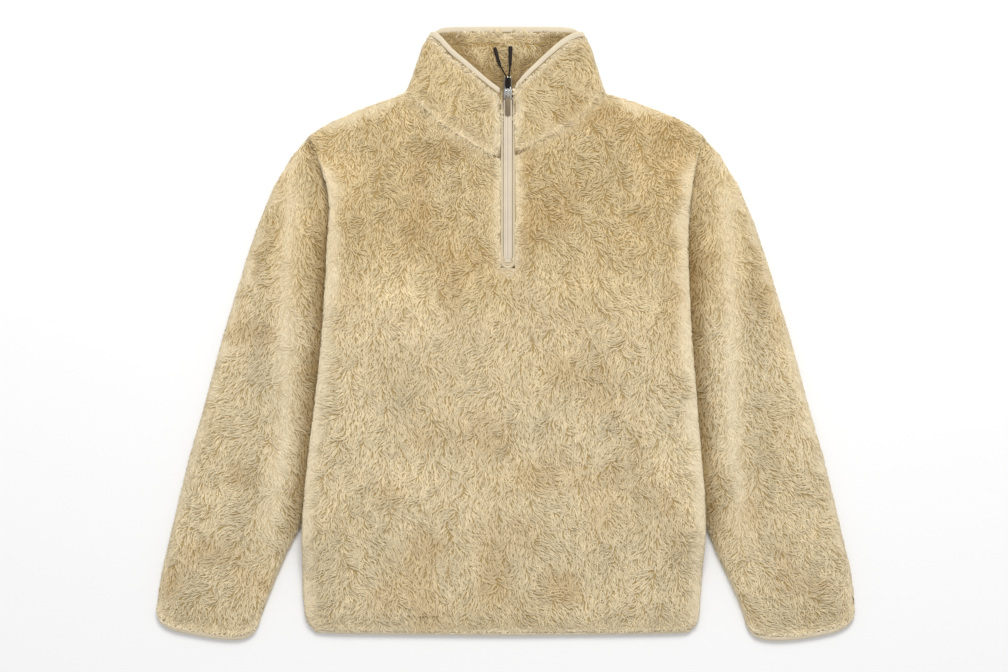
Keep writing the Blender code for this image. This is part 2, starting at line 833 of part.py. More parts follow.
def build_collar(group):
    path = collar_path()
    sheet_end = COLLAR_BINDING + SEAM_GAP
    spans = []
    for share in COLLAR_HIGH_STEPS:
        seam = COLLAR_SEAM_DROP * float(rounding(share, COLLAR_SEAM_SHARE))
        pressed = (WALL - HEM_WALL) * float(ease(1 - (1 - share) / COLLAR_PRESSED_SHARE))
        spans.append((share, sheet_end, WALL - seam - pressed))
    mesh_part("collar", loft(*collar_wall(path, spans), False), "fleece", group)
    tape = [(1.0, COLLAR_BINDING * distance, thick) for distance, thick in COLLAR_TAPE_ROWS]
    mesh_part("collar_binding", loft(*collar_wall(path, tape), False), "binding_tape", group)


def bar(bm, low, high):
    """A box between two corners."""
    made = bmesh.ops.create_cube(bm, size=1)["verts"]
    size = np.array(high, float) - np.array(low, float)
    bmesh.ops.scale(bm, vec=size, verts=made)
    bmesh.ops.translate(bm, vec=(np.array(low, float) + size / 2), verts=made)
    return made


def round_edges(bm, edges, radius, segments):
    bmesh.ops.bevel(bm, geom=edges, offset=radius, segments=segments, affect="EDGES", profile=0.5)


def extrude_section(section, start, end):
    """A closed XZ section swept along Y."""
    bm = bmesh.new()
    face = bm.faces.new([bm.verts.new((x, start, z)) for x, z in section])
    made = bmesh.ops.extrude_face_region(bm, geom=[face])["geom"]
    moved = [item for item in made if isinstance(item, bmesh.types.BMVert)]
    bmesh.ops.translate(bm, vec=(0, end - start, 0), verts=moved)
    return bm


def build_zip_tape(name, side, group):
    """One tape with its half of the chain, which stands out above and below it."""
    half = TAPE_THICK / 2
    chain = CHAIN_THICK / 2
    inner = SEAM_GAP / 2

    def place(x):
        return ZIP_X + side * x

    section = [
        (place(inner), TAPE_Z - chain),
        (place(CHAIN_HALF - CHAIN_SLOPE), TAPE_Z - chain),
        (place(CHAIN_HALF), TAPE_Z - half),
        (place(TAPE_HALF), TAPE_Z - half),
        (place(TAPE_HALF), TAPE_Z + half),
        (place(CHAIN_HALF), TAPE_Z + half),
        (place(CHAIN_HALF - CHAIN_SLOPE), TAPE_Z + chain),
        (place(inner), TAPE_Z + chain),
    ]
    bm = extrude_section(section, CHAIN_BOTTOM, CHAIN_TOP)
    mesh_part(name, bm, "zip_fabric", group)


def build_zip_stop(group):
    bm = bmesh.new()
    top = CHAIN_BOTTOM - STOP_GAP
    low = (ZIP_X - STOP_HALF, top - STOP_LENGTH, TAPE_Z - STOP_HALF_THICK)
    high = (ZIP_X + STOP_HALF, top, TAPE_Z + STOP_HALF_THICK)
    bar(bm, low, high)
    round_edges(bm, bm.edges[:], STOP_BEVEL, 2)
    mesh_part("zip_stop", bm, "zip_fabric", group)


def poly_curve(name, route, radius, look, group, cyclic=False):
    """A round tube along a route, with filled caps."""
    data = bpy.data.curves.new(name, "CURVE")
    data.dimensions = "3D"
    data.bevel_depth = radius * MM
    data.bevel_resolution = 2
    data.use_fill_caps = not cyclic
    line = data.splines.new("POLY")
    line.points.add(len(route) - 1)
    for point, place in zip(line.points, route):
        point.co = (*[value * MM for value in place], 1)
    line.use_cyclic_u = cyclic
    line.use_smooth = True
    return add_part(name, data, look, group)


def build_zip_welt(group):
    """Piping down one side of the zip, round its end and up the other side."""
    centre_y = SLIT_BOTTOM + WELT_GAP + WELT_RADIUS + WELT_OFFSET
    route = [(ZIP_X - WELT_OFFSET, y, WELT_Z) for y in reversed(WELT_HEIGHTS)]
    for angle in np.linspace(180, 360, 13):
        x = ZIP_X + WELT_OFFSET * math.cos(math.radians(angle))
        y = centre_y + WELT_OFFSET * math.sin(math.radians(angle))
        route.append((x, y, WELT_Z))
    route += [(ZIP_X + WELT_OFFSET, y, WELT_Z) for y in WELT_HEIGHTS]
    poly_curve("zip_welt", route, WELT_RADIUS, "binding_tape", group)


def join_with_boolean(target, others):
    """Fuses the other objects into target, which keeps its name."""
    for other in others:
        fuse = target.modifiers.new("fuse_" + other.name, "BOOLEAN")
        fuse.operation = "UNION"
        fuse.solver = "EXACT"
        fuse.object = other
        other.hide_render = True
        other.display_type = "WIRE"


def build_slider(parts, cutters):
    """Two plates with side flanges, a post between them and a bridge on top."""
    chain = CHAIN_THICK / 2 + PLATE_GAP
    flange = TAPE_THICK / 2 + FLANGE_GAP
    inner = SLIDER_HALF - PLATE

    def channel(sign):
        """One plate with its two flanges, as an XZ section."""
        outer_z = TAPE_Z + sign * (chain + PLATE)
        section = [
            (-SLIDER_HALF, outer_z),
            (SLIDER_HALF, outer_z),
            (SLIDER_HALF, TAPE_Z + sign * flange),
            (inner, TAPE_Z + sign * flange),
            (inner, TAPE_Z + sign * chain),
            (-inner, TAPE_Z + sign * chain),
            (-inner, TAPE_Z + sign * flange),
            (-SLIDER_HALF, TAPE_Z + sign * flange),
        ]
        section = [(ZIP_X + x, z) for x, z in section]
        return extrude_section(section, SLIDER_BOTTOM, SLIDER_TOP)

    plate_top = TAPE_Z + chain + PLATE
    slider = mesh_part("slider", channel(1), "bright_metal", parts)
    lower = mesh_part("slider_lower_plate", channel(-1), "bright_metal", cutters)
    post = bmesh.new()
    reach = chain + PLATE / 2
    low = (ZIP_X - POST_HALF, CHAIN_TOP + POST_GAP, TAPE_Z - reach)
    high = (ZIP_X + POST_HALF, SLIDER_TOP - POST_INSET, TAPE_Z + reach)
    bar(post, low, high)
    post = mesh_part("slider_post", post, "bright_metal", cutters)
    bridge = extrude_bridge(plate_top)
    bridge = mesh_part("slider_bridge", bridge, "bright_metal", cutters)
    join_with_boolean(slider, [lower, post, bridge])


def extrude_bridge(plate_top):
    """The bridge, an arch seen from the side, as wide as BRIDGE_HALF each way."""
    foot = plate_top - PLATE / 2
    top = BRIDGE_Z + BRIDGE_THICK
    outline = [
        (BRIDGE_LOW, foot),
        (BRIDGE_LOW, top - BRIDGE_BEVEL),
        (BRIDGE_LOW + BRIDGE_BEVEL, top),
        (BRIDGE_HIGH - BRIDGE_BEVEL, top),
        (BRIDGE_HIGH, top - BRIDGE_BEVEL),
        (BRIDGE_HIGH, foot),
        (BRIDGE_HIGH - BRIDGE_LEG, foot),
        (BRIDGE_HIGH - BRIDGE_LEG, BRIDGE_Z),
        (BRIDGE_LOW + BRIDGE_LEG, BRIDGE_Z),
        (BRIDGE_LOW + BRIDGE_LEG, foot),
    ]
    bm = bmesh.new()
    face = bm.faces.new([bm.verts.new((ZIP_X - BRIDGE_HALF, y, z)) for y, z in outline])
    made = bmesh.ops.extrude_face_region(bm, geom=[face])["geom"]
    moved = [item for item in made if isinstance(item, bmesh.types.BMVert)]
    bmesh.ops.translate(bm, vec=(2 * BRIDGE_HALF, 0, 0), verts=moved)
    return bm


def build_pull_loop(group):
    """A closed loop of wire with round corners, through the bridge."""
    corner = LOOP_CORNER
    route = []
    corners = [
        (LOOP_HALF - corner, LOOP_LOW + corner, 270),
        (LOOP_HALF - corner, LOOP_HIGH - corner, 0),
        (corner - LOOP_HALF, LOOP_HIGH - corner, 90),
        (corner - LOOP_HALF, LOOP_LOW + corner, 180),
    ]
    for x, y, start in corners:
        for angle in (start, start + 30, start + 60, start + 90):
            c, s = math.cos(math.radians(angle)), math.sin(math.radians(angle))
            route.append((ZIP_X + x + corner * c, y + corner * s, LOOP_Z))
    poly_curve("pull_loop", route, LOOP_WIRE, "bright_metal", group, cyclic=True)


def build_pull_tab(parts, cutters):
    """A flat tab with an eye: its bar lies under the bridge, on the axis that it turns about."""
    hinge = bpy.data.objects.new("pull_tab_axis", None)
    hinge.location = (ZIP_X * MM, PIVOT_Y * MM, PIVOT_Z * MM)
    hinge.rotation_euler = (TAB_DROOP, 0, 0)
    parts.objects.link(hinge)
    half = TAB_BAR_RADIUS
    body = bmesh.new()
    low = (-TAB_HALF, -TAB_LENGTH, -half)
    high = (TAB_HALF, half, half)
    made = bar(body, low, high)
    far = {vert for vert in made if vert.co.y < -half}
    upright = []
    for edge in body.edges:
        first, second = edge.verts
        if far.issuperset(edge.verts) and first.co.x == second.co.x:
            upright.append(edge)
    round_edges(body, upright, TAB_CORNER, 4)
    tab = mesh_part("pull_tab", body, "dull_metal", parts)
    eye = bmesh.new()
    bar(eye, (-TAB_SLIT_HALF, -TAB_SLIT_END, -2 * half), (TAB_SLIT_HALF, -half, 2 * half))
    eye = mesh_part("pull_tab_eye", eye, "dull_metal", cutters)
    for item in (tab, eye):
        item.parent = hinge
    cut = tab.modifiers.new("eye", "BOOLEAN")
    cut.operation = "DIFFERENCE"
    cut.solver = "EXACT"
    cut.object = eye
    eye.hide_render = True
    eye.display_type = "WIRE"


# Routes of the two cord legs, from the knot over the loop and down on the collar's inside.
CORD_ROUTES = {
    "left": [
        (1.5, 324.8, 15.55),
        (0.6, 326.8, 15.6),
        (-1.6, 330.6, 14.6),
        (-4.4, 335.9, 11.8),
        (-7.0, 341.0, 9.6),
    ],
    "right": [
        (4.3, 324.8, 15.55),
        (4.5, 326.8, 15.6),
        (4.9, 330.8, 14.6),
        (5.4, 336.0, 11.9),
        (5.9, 341.0, 9.9),
    ],
}
# Tips: where each begins and ends, and its radius at both.
TIPS = {
    "left": ((-7.2, 341.4, 9.5), (-13.8, 363.6, 9.5), 1.8, 2.3),
    "right": ((5.95, 341.4, 9.9), (6.3, 365.2, 9.9), 2.0, 2.6),
}


def build_cord(group):
    knot = bmesh.new()
    low = (ZIP_X - KNOT_HALF, BRIDGE_HIGH + KNOT_GAP, KNOT_Z[0])
    high = (ZIP_X + KNOT_HALF, LOOP_HIGH - LOOP_WIRE - KNOT_GAP, KNOT_Z[1])
    bar(knot, low, high)
    round_edges(knot, knot.edges[:], KNOT_BEVEL, 2)
    mesh_part("cord_knot", knot, "cord", group)
    for side, route in CORD_ROUTES.items():
        line = curve(route, np.linspace(0, 1, 9))
        poly_curve("cord_" + side, line, CORD_RADIUS, "cord", group)
    for side, tip in TIPS.items():
        build_tip("cord_tip_" + side, *tip, group)


def build_tip(name, start, end, thin, thick, group):
    """A moulded tip, round and a little wider at its free end."""
    start, end = np.array(start), np.array(end)
    length = float(np.linalg.norm(end - start))
    axis = (end - start) / length
    across = np.cross(axis, (0, 0, 1))
    across /= np.linalg.norm(across)
    over = np.cross(across, axis)
    profile = [(0.0, thin - 0.3), (0.4, thin), (length - 0.7, thick), (length, thick - 0.5)]
    bm = bmesh.new()
    rows = []
    for distance, radius in profile:
        row = []
        for k in range(TIP_SIDES):
            turn = 2 * math.pi * k / TIP_SIDES
            outward = math.cos(turn) * across + math.sin(turn) * over
            row.append(bm.verts.new(start + axis * distance + radius * outward))
        rows.append(row)
    for low_row, high_row in zip(rows[:-1], rows[1:]):
        for k in range(TIP_SIDES):
            n = (k + 1) % TIP_SIDES
            bm.faces.new((low_row[k], low_row[n], high_row[n], high_row[k]))
    bm.faces.new(rows[0])
    bm.faces.new(rows[-1])
    mesh_part(name, bm, "tip_plastic", group)


def main():
    clear_scene()
    parts, cutters = make_collections()
    hem = build_body(parts)
    build_edge_binding("hem_binding", hem, (0, -1), HEM_BINDING, parts)
    for name, side in (("left", -1), ("right", 1)):
        cuff = build_sleeve("sleeve_" + name, side, parts)
        along_cuff = cuff[len(cuff) // 2 + 2] - cuff[len(cuff) // 2 - 2]
        away = side * np.array([-along_cuff[1], along_cuff[0]])
        build_edge_binding("cuff_binding_" + name, cuff, away, CUFF_BINDING, parts)
    build_collar(parts)
    build_zip_tape("zip_tape_left", -1, parts)
    build_zip_tape("zip_tape_right", 1, parts)
    build_zip_stop(parts)
    build_zip_welt(parts)
    build_slider(parts, cutters)
    build_pull_loop(parts)
    build_pull_tab(parts, cutters)
    build_cord(parts)


main()
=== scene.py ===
"""The looks of a deep pile fleece pullover that lies flat on its back.

Lengths are in millimetres in the tables and in metres in the meshes, and MM joins the two.
X runs across the garment, Y from the hem to the collar and Z up from the floor, as in the
solids. Left is at -X.
"""

import math

import bmesh
import bpy
import numpy as np
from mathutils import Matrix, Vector
from mathutils.bvhtree import BVHTree


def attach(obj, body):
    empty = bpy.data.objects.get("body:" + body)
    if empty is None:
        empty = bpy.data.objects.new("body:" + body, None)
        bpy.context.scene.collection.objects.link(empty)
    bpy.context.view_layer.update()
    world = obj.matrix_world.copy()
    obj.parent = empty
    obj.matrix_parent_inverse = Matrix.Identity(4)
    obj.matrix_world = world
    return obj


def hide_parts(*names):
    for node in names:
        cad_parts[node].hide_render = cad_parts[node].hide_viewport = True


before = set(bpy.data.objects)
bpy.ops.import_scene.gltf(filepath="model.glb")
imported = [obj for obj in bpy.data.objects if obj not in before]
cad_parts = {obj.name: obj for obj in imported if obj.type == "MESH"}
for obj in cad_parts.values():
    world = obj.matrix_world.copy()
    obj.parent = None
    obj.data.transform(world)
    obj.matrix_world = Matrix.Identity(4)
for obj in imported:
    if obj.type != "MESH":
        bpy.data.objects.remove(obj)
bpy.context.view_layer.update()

MM = 0.001
MERGE = 0.01  # points nearer to each other than this are one
LOWEST = 0.2  # the cloth's least height over the floor

# Camera, straight above the garment
CAMERA_PLACE = (-1.9, -3.2, 3036.0)
LENS = 85.0
SENSOR = 36.0

# Light
FLOOR_SIZE = 16000.0
FLOOR_COLOUR = (244, 244, 244)
WORLD_STRENGTH = 0.66
KEY_PLACE = (250.0, 2200.0, 2500.0)
KEY_SIZE = 1500.0
KEY_WATTS = 75.0

# Knitted ground
PILE_DEPTH = 2.3  # how far it lies inside the solids' faces
INSET_START = (-0.35, 0.5)  # from this Z of the normal, over this span, it moves inside
EVEN_FROM = 0.8  # faces that look up or down more than this are evened
STEEP_TO = 0.6  # faces that do so less than this are moved together at seams
SEAM_REACH = 2.6  # gaps to other cloth up to this are closed from both sides
TAPE_REACH = 4.5  # gaps to tapes up to this are closed from the cloth's side
SEAM_BLEND = 7.0
NECK_TUCK = 3.0  # how far the front's neckline runs on under the collar
NECK_PLACE = (60.0, 200.0, 6.0, 2.5)  # this near the zip, over this Y and Z, this near the collar
ZIP_PULL = 0.35  # share of the way that the cloth round the zip's end is pulled to it
ZIP_PULL_REACH = (17.0, 5.0)
SLIVER = 1.0  # edges shorter than this are closed up
LONG_EDGE = 13.0  # edges longer than this are halved
HALVINGS = 3
SMOOTH_ROUNDS = 12
FOLDS = [
    # soft ridges of the front: start x, y, end x, y, half width, height
    (164, -112, 240, -246, 13, 1.8), (-170, -168, -232, -246, 12, 1.5),
    (-172, 52, -106, 44, 10, 1.0), (60, 40, 128, 56, 12, 0.8),
    (-70, 70, -30, 100, 9, 0.8), (-120, -210, -20, -150, 13, 0.8),
]

# Strands of the pile: the place of each row of points along one, and its sizes as shares
STRAND_STEPS = np.array([0.0, 0.4, 0.78, 1.0])
STRAND_RIDGE = np.array([0.3, 1.0, 1.05, 0.55])
STRAND_EDGE = np.array([-0.3, -0.1, 0.0])
STRAND_WIDTH = np.array([0.75, 1.0, 0.8])
# painted shade on each strand: its ridge darker towards the root, its edges darker still
RIDGE_SHADE = np.array([0.82, 0.98, 1.05, 1.06])
EDGE_SHARE = np.array([0.0, 0.03, 0.2])
STRAND_QUADS = [(0, 1, 4, 3), (1, 2, 5, 4), (3, 4, 7, 6), (4, 5, 8, 7)]
STRAND_TIP = [(6, 7, 9), (7, 8, 9)]
STRAND_POINTS = 10
STRAND_FACES = 10  # triangles
PIECE_FACES = 190000
ROOM = 1.43  # how much cloth a strand's place takes, as a share of its room's two sizes
LOWEST_FACE = -0.3  # strands start on faces whose normals' Z is over this
STRAND_FALL = -0.2
STRAND_KEEP = 2.0  # how much of each row's way up stays in the next
STREAKS = (900, 250, 900)  # the ground's streaks, as noise per metre
STREAK_SIDES = (-1.5, 0.0, 1.5)
LENGTH_SPREAD = (0.75, 1.2)
WIDTH_SPREAD = (0.8, 1.2)
HEIGHT_SPREAD = (0.75, 1.15)
CHEST_SHORTER = 0.22
CHEST_NARROWER = 0.1
CHEST_TURN = 0.4  # how much more the chest's tufts turn
SEAM_LONGER = {"collar": 0.35}  # the collar's pile is longer at its seams,
SEAM_SHORTER = -0.2  # and elsewhere it is shorter there
OVER_TRIM = 1.2  # how far strands lap over trims
SHORTEST = 0.3  # the least share of its length that a strand keeps beside a trim
BESIDE_ZIP = 30.0
LEAST_TOWARD = 0.3
RIM_LONGER = 0.35  # the front's pile is longer at its sides and where it is soft
RIM_REACH = (12.0, 8.0)
RIM_LOW = (90.0, 40.0)
SOFT_FLATTER = 0.45
SEAM_FLATTER = 0.35
BEND_STRAY = 14.0
TONE_SPREAD = 0.08
SOFT_EVENER = 0.6  # how much evener soft pile's tones are
SEAM_PALE = 0.8
SOFT_RIDGE_SHADE = 0.97  # soft strands' ridges come nearer to this,
RIDGE_EVENER, EDGE_FILLED = 0.6, 0.8  # and their edges to their ridges, so they carry less painted shade
ROOT_AND_GAP_SHADE = np.array([0.44, 0.37, 0.24])  # painted shade between strands and on the ground under them, with the pile's deeper root colour: what is left of each colour there
CROWDING = 3.4  # places tried for each strand that finds room
COVER_REACH = 9.0
# painted shade where higher cloth nearby shuts the pile in: how far its rays reach, how many, how
# strong and how steep
SHADE_REACH = 45.0
SHADE_RAYS = 12
SHADE_GAIN = 3.0
SHADE_SLOPE = 0.25
RAY_STARTS = (0.05, 0.8, 1.5)  # off the cloth, for gaps, for cover and for shade
PAINTED_SHADE_COLOUR = np.array([0.52, 0.45, 0.34])  # painted shade: what is left of each colour where higher cloth nearby shuts the pile in
INNER_COLLAR = (8.5, 300.0, 100.0)  # painted shade inside the back collar: lower than this Z, above this Y and this near the middle
COLLAR_SHADES = [((386, 22), 0.22), ((364, 40), 0.72)]  # the painted shade's place and depth, from the top down
TORSO_RIM = (8.0, 24.0)  # how far in the smooth rim with its painted highlight reaches, fully and at all
SLEEVE_RIM = (3.0, 15.0)
SHOULDER_RIM = (4.0, 18.0)
SHOULDER_OUT = (125.0, 20.0)  # the shoulder's rim starts this far from the middle
TORSO_RIM_TOP = (235.0, 40.0)
RIM_DRIFT = 0.3  # how unevenly wide the rims are
TILT = (0.9, 0.5)  # cloth that looks aside more than this, over this span, is smooth and gets a painted highlight
SMOOTH = {"tilt": 0.8, "shoulder": 0.8, "side": 0.85, "sleeve_tilt": 0.85, "sleeve_side": 0.7,
          "ridge": 0.7, "collar_tilt": 0.5}  # how smooth each place is, and how much painted highlight it gets
SEAM_BAND = 5.0
NECK_BAND = 8.0
NECK_BAND_SHARE = 0.55
NECK_BAND_TILT = 0.3
ZIP_BAND = 9.0
ZIP_BAND_PLACE = (30.0, 310.0)  # this near the zip and below this height
BAND_FADES = (1.4, 1.5)  # where strands' and the ground's bands end, in their widths
# how much of the ground's painted shade is lifted near seams and smooth places
ROOT_NEAR_SEAM = 0.75
GROUND_LIFT = 1.1
TUFT_SIZE = 11.0  # strands of one tuft lie alike
TUFT_TONE = 0.03
TUFT_CELLS = 128
TUFT_MIDDLE = 60  # the grid's cell under the garment's middle
TUFT_DRIFT = (0.35, 9.0)  # how far tufts drift, in tufts, and over what length
TUFT_STRETCH = 0.7
STRAY = 15.0  # how far a strand's way strays from its tuft's, in degrees
COLLAR_TONE = 0.93
HEM_LAP = 1.6  # how much further the pile laps over the hem's tape
HEM_HIGH = -300.0
UPPER = (120.0, 60.0)  # above this height, over this length, less painted shade is laid on,
HEM_RIM = (-325.0, 20.0)  # and below this height on the front
UPPER_OPEN, HEM_OPEN = 0.65, 0.8
CHEST = (20.0, 120.0)  # from this height, over this length, long waves turn into tight whorls
CHEST_CALMER = 0.4

# The way that the pile lies, in degrees from straight down
CHEST_WHORLS = (60.0, 20.0)  # turn and size
BODY_WAVES = (30.0, 90.0)
SIDE_TURN = (38.0, 34.0)  # outwards at the body's sides, and more of it higher up
SIDE_HIGH = (90.0, 40.0)
SIDE_BAND = (195.0, 45.0)
SLEEVE_TURN = (12.0, 30.0, 22.0)  # outwards, more of it off the ridge, over this width
COLLAR_TURN = (40.0, 60.0)
COLLAR_INWARD = (60.0, 70.0)  # over the zip's sides, and more of it at the top
COLLAR_INWARD_TOP = (294.0, 14.0)
COLLAR_UP = (364.0, 10.0)  # the inside's top turns up,
COLLAR_UP_HALF = 75.0  # this near the middle
ZIP_END_TURN = (20.0, 6.0)

PILE = {
    # part: length, width, height, room along and across, swirl, its size, turn of tufts, curl
    "front_panel": (9.0, 2.2, 1.9, 2.4, 1.4, 36, 30, 32, 65),
    "back_panel": (9.5, 2.6, 1.8, 3.4, 1.8, 40, 30, 42, 60),
    "sleeve_left": (9.0, 2.2, 1.8, 2.6, 1.4, 30, 30, 28, 55),
    "sleeve_right": (9.0, 2.2, 1.8, 2.6, 1.4, 30, 30, 28, 55),
    "collar": (9.5, 2.4, 2.0, 2.5, 1.4, 60, 36, 42, 75),
}

# The sleeves' soft ridges, smooth and with a painted highlight, and the trough outside each, with
# painted shade
RIDGE_LINE = [
    # y, left x, right x
    (-300, -318, 306), (-250, -303, 299), (-200, -293, 297), (-150, -284, 290),
    (-110, -279, 288), (-60, -278, 287), (100, -277, 285), (190, -272, 280),
]
RIDGE_ENDS = [(-340.0, 170.0), (225.0, 60.0)]  # lower and upper end, and how far each fades
RIDGE_WIDTH = 11.0
TROUGH_AWAY = 32.0
TROUGH_WIDTH = 15.0
TROUGH_SHADE = 0.11
TROUGH_OUT = 258.0

# Colours, as they are seen
CREAM = (249, 235, 203)
GOLD = (241, 222, 181)
OCHRE = (216, 183, 126)
# the next colour is a painted highlight for smooth rims and ridges, and the paler flattened pile by
# seams
PALE_HIGHLIGHT = (243, 230, 203)
GOLD_PLACE = (-90.0, 250.0)  # the cream turns into gold from this height, over this length
GOLD_DRIFT = (0.35, 60.0)
OCHRE_CLOUDS = (0.5, 46.0, 1.6, 0.35)  # strength, size, gain and loss
OCHRE_EDGE = (9.0, 14.0)
OCHRE_FADE = 1.3
OCHRE_SHARE = 0.6
TONE_DRIFT = (0.06, 30.0)
# how much of the painted highlight colour smooth places get
SOFT_HIGHLIGHT = 0.75
OCHRE_PATCHES = [
    # x, y, radius, strength
    (-96, -269, 26, 0.7), (69, -319, 30, 0.7),
    (-147, -199, 24, 0.5), (-30, -120, 40, 0.35),
    (120, -60, 30, 0.3), (-150, -330, 26, 0.4),
    (20, -250, 34, 0.3), (200, -210, 18, 0.35),
]
TONE_AND_HIGHLIGHT_PATCHES = [
    # x, y, half length, half width, angle, change of tone; the lighter ones are painted highlights
    # along the front's soft ridges
    (-83, 233, 45, 35, 0, -0.05), (-134, 182, 50, 40, 20, -0.04),
    (145, 233, 50, 40, 0, -0.03), (-140, 48, 48, 14, -5, 0.10),
    (-51, 96, 22, 16, 0, 0.08), (-140, -59, 44, 30, 10, -0.05),
    (-45, -135, 52, 22, 0, -0.04), (50, -91, 34, 44, 0, -0.04),
    (-108, -186, 74, 24, -32, 0.06), (190, -170, 66, 17, -60, 0.09),
    (-200, -200, 60, 15, 56, 0.07), (110, -270, 60, 40, 0, -0.03),
]

# Trims, and the opening of the zip that the pile keeps clear of
TRIMS = ["collar_binding", "hem_binding", "cuff_binding_left", "cuff_binding_right", "zip_welt"]
ZIP_X = 3.0
ZIP_CLEAR = 8.2  # half the width that strands keep clear of,
ZIP_LOW = 8.5  # above this Z
ZIP_FROM = 84.0  # and this Y
ZIP_LAP = (262.0, 14.0)  # above this height, over this length, the pile laps the zip's sides,
ZIP_LAP_REACH = (28.0, 14.0)
ZIP_END_LAP = (100.0, 8.0)  # and below this height, round its lower end
ZIP_END_REACH = (18.0, 6.0)
ZIP_END_SHARE = 0.6
ZIP_END_FLOOR = 60.0
ZIP_END = (3.0, 94.0)
LAP = 6.0
ZIP_PLATE = (6.5, 8.5, 3.0)  # the turned-under tape end: half width, how far below and above
ZIP_PLATE_DEPTH = (6.0, 0.9, 1.2)  # under the tape's face this near its end, and how thick

# Pull cord
CORD_RADIUS = 0.95
CORDS = {
    # from inside the knot, out at the second place, to the tip's far end
    "left": [(1.7, 313.4, 14.8), (1.5, 324.8, 15.55), (0.6, 326.8, 15.6), (-1.6, 330.6, 14.6),
             (-4.4, 335.9, 11.8), (-7.0, 341.0, 9.6), (-9.7, 350.4, 9.5)],
    "right": [(4.3, 313.4, 14.8), (4.3, 324.8, 15.55), (4.5, 326.8, 15.6), (4.9, 330.8, 14.6),
              (5.4, 336.0, 11.9), (5.9, 341.0, 9.9), (6.1, 350.2, 9.8)],
}


def srgb(red, green, blue):
    """A colour seen as these 0 to 255 values, in linear light."""
    shares = np.array([red, green, blue]) / 255
    return np.where(shares <= 0.04045, shares / 12.92, ((shares + 0.055) / 1.055) ** 2.4)


def ease(value):
    share = np.clip(value, 0, 1)
    return share * share * (3 - 2 * share)


def rise(value, place):
    """From 0 up to 1, from place's start and over its length."""
    return ease((value - place[0]) / place[1])


def fall(value, place):
    """The same from place's start down."""
    return ease((place[0] - value) / place[1])


def unit(vectors):
    return vectors / np.maximum(np.linalg.norm(vectors, axis=-1, keepdims=True), 1e-12)


def smooth_noise(x, y, size, seed):
    """Smooth random values from -1 to 1 over the plan, which change over about size."""
    grid = np.random.default_rng(seed).uniform(-1, 1, (64, 64))
    u, v = x / size + 16.37, y / size + 16.91
    i, j = np.floor(u).astype(int), np.floor(v).astype(int)
    s, t = ease(u - i), ease(v - j)

    def at(a, b):
        return grid[(i + a) % 64, (j + b) % 64]

    low = at(0, 0) * (1 - s) + at(1, 0) * s
    high = at(0, 1) * (1 - s) + at(1, 1) * s
    return low * (1 - t) + high * t


def read(items, name, width, kind=np.float64):
    found = np.empty(len(items) * width, kind)
    items.foreach_get(name, found)
    return found.reshape(-1, width)


def add_object(name, data):
    made = bpy.data.objects.new(name, data)
    bpy.context.scene.collection.objects.link(made)
    return made


def make_mesh(name, points, faces, smooth=True):
    """An object from points in metres and faces."""
    mesh = bpy.data.meshes.new(name)
    mesh.from_pydata(np.asarray(points).tolist(), [], [list(map(int, f)) for f in faces])
    if smooth:
        mesh.shade_smooth()
    return add_object(name, mesh)


def set_fibres(obj, tints, strands):
    """The colours, with their painted shade and highlights, and the places on strands, that the
    fleece's look reads.
    """
    tints = np.concatenate([tints, np.ones((len(tints), 1))], axis=1)
    colour = obj.data.attributes.new("pile_tint", "FLOAT_COLOR", "POINT")
    colour.data.foreach_set("color", tints.astype(np.float32).ravel())
    place = obj.data.attributes.new("strand", "FLOAT_VECTOR", "POINT")
    place.data.foreach_set("vector", strands.astype(np.float32).ravel())


# Materials


class Nodes:
    """A material's node tree, with short calls to add and join nodes."""

    def __init__(self, name, roughness, metallic=0.0, **settings):
        self.material = bpy.data.materials.new(name)
        self.material.use_nodes = True
        self.tree = self.material.node_tree
        self.shader = self.tree.nodes["Principled BSDF"]
        self.shader.inputs["Roughness"].default_value = roughness
        self.shader.inputs["Metallic"].default_value = metallic
        for socket, value in settings.items():
            self.shader.inputs[socket.replace("_", " ")].default_value = value

    def add(self, kind, inputs=None, **settings):
        node = self.tree.nodes.new("ShaderNode" + kind)
        for key, value in settings.items():
            setattr(node, key, value)
        for key, value in (inputs or {}).items():
            if isinstance(value, bpy.types.NodeSocket):
                self.tree.links.new(value, node.inputs[key])
            else:
                node.inputs[key].default_value = value
        return node

    def link(self, output, socket):
        self.tree.links.new(output, self.shader.inputs[socket])

    def mix(self, blend, factor, first, second):
        node = self.add("Mix", data_type="RGBA", blend_type=blend)
        for index, value in ((0, factor), (6, first), (7, second)):
            if isinstance(value, bpy.types.NodeSocket):
                self.tree.links.new(value, node.inputs[index])
            else:
                node.inputs[index].default_value = value
        return node.outputs[2]

    def bump(self, height, strength, distance):
        node = self.add("Bump", {"Height": height, "Strength": strength, "Distance": distance})
        self.link(node.outputs[0], "Normal")

    def finish(self, pattern, dark, light, relief, depth):
        """Two tones by a pattern, which also shows in relief."""
        self.link(self.mix("MIX", pattern, dark, light), "Base Color")
        self.bump(pattern, relief, depth)
        return self.material


def colour4(red, green, blue):
    return (*srgb(red, green, blue), 1.0)


def fleece_material():
    """Pile fibres: the tint, with its painted shade and highlights, is in the mesh, with fine streaks
    that run along each lock.
    """
    made = Nodes("deep_pile_fleece", 0.95, Sheen_Weight=0.08, Sheen_Roughness=0.45,
                 Specular_IOR_Level=0.05)
    made.shader.inputs["Sheen Tint"].default_value = colour4(244, 220, 176)
    tint = made.add("Attribute", attribute_name="pile_tint").outputs["Color"]
    strand = made.add("Attribute", attribute_name="strand").outputs["Vector"]
    fibres = made.add("TexNoise", {"Vector": strand, "Scale": 2.2, "Detail": 3.0})
    streak = made.add("ValToRGB", {"Fac": fibres.outputs[0]})
    streak.color_ramp.elements[0].position = 0.3
    streak.color_ramp.elements[1].position = 0.72
    streak.color_ramp.elements[0].color = (0.8, 0.78, 0.74, 1)
    streak.color_ramp.elements[1].color = (1.08, 1.07, 1.05, 1)
    made.link(made.mix("MULTIPLY", 1.0, tint, streak.outputs[0]), "Base Color")
    made.bump(fibres.outputs[0], 0.5, 0.0006)
    return made.material


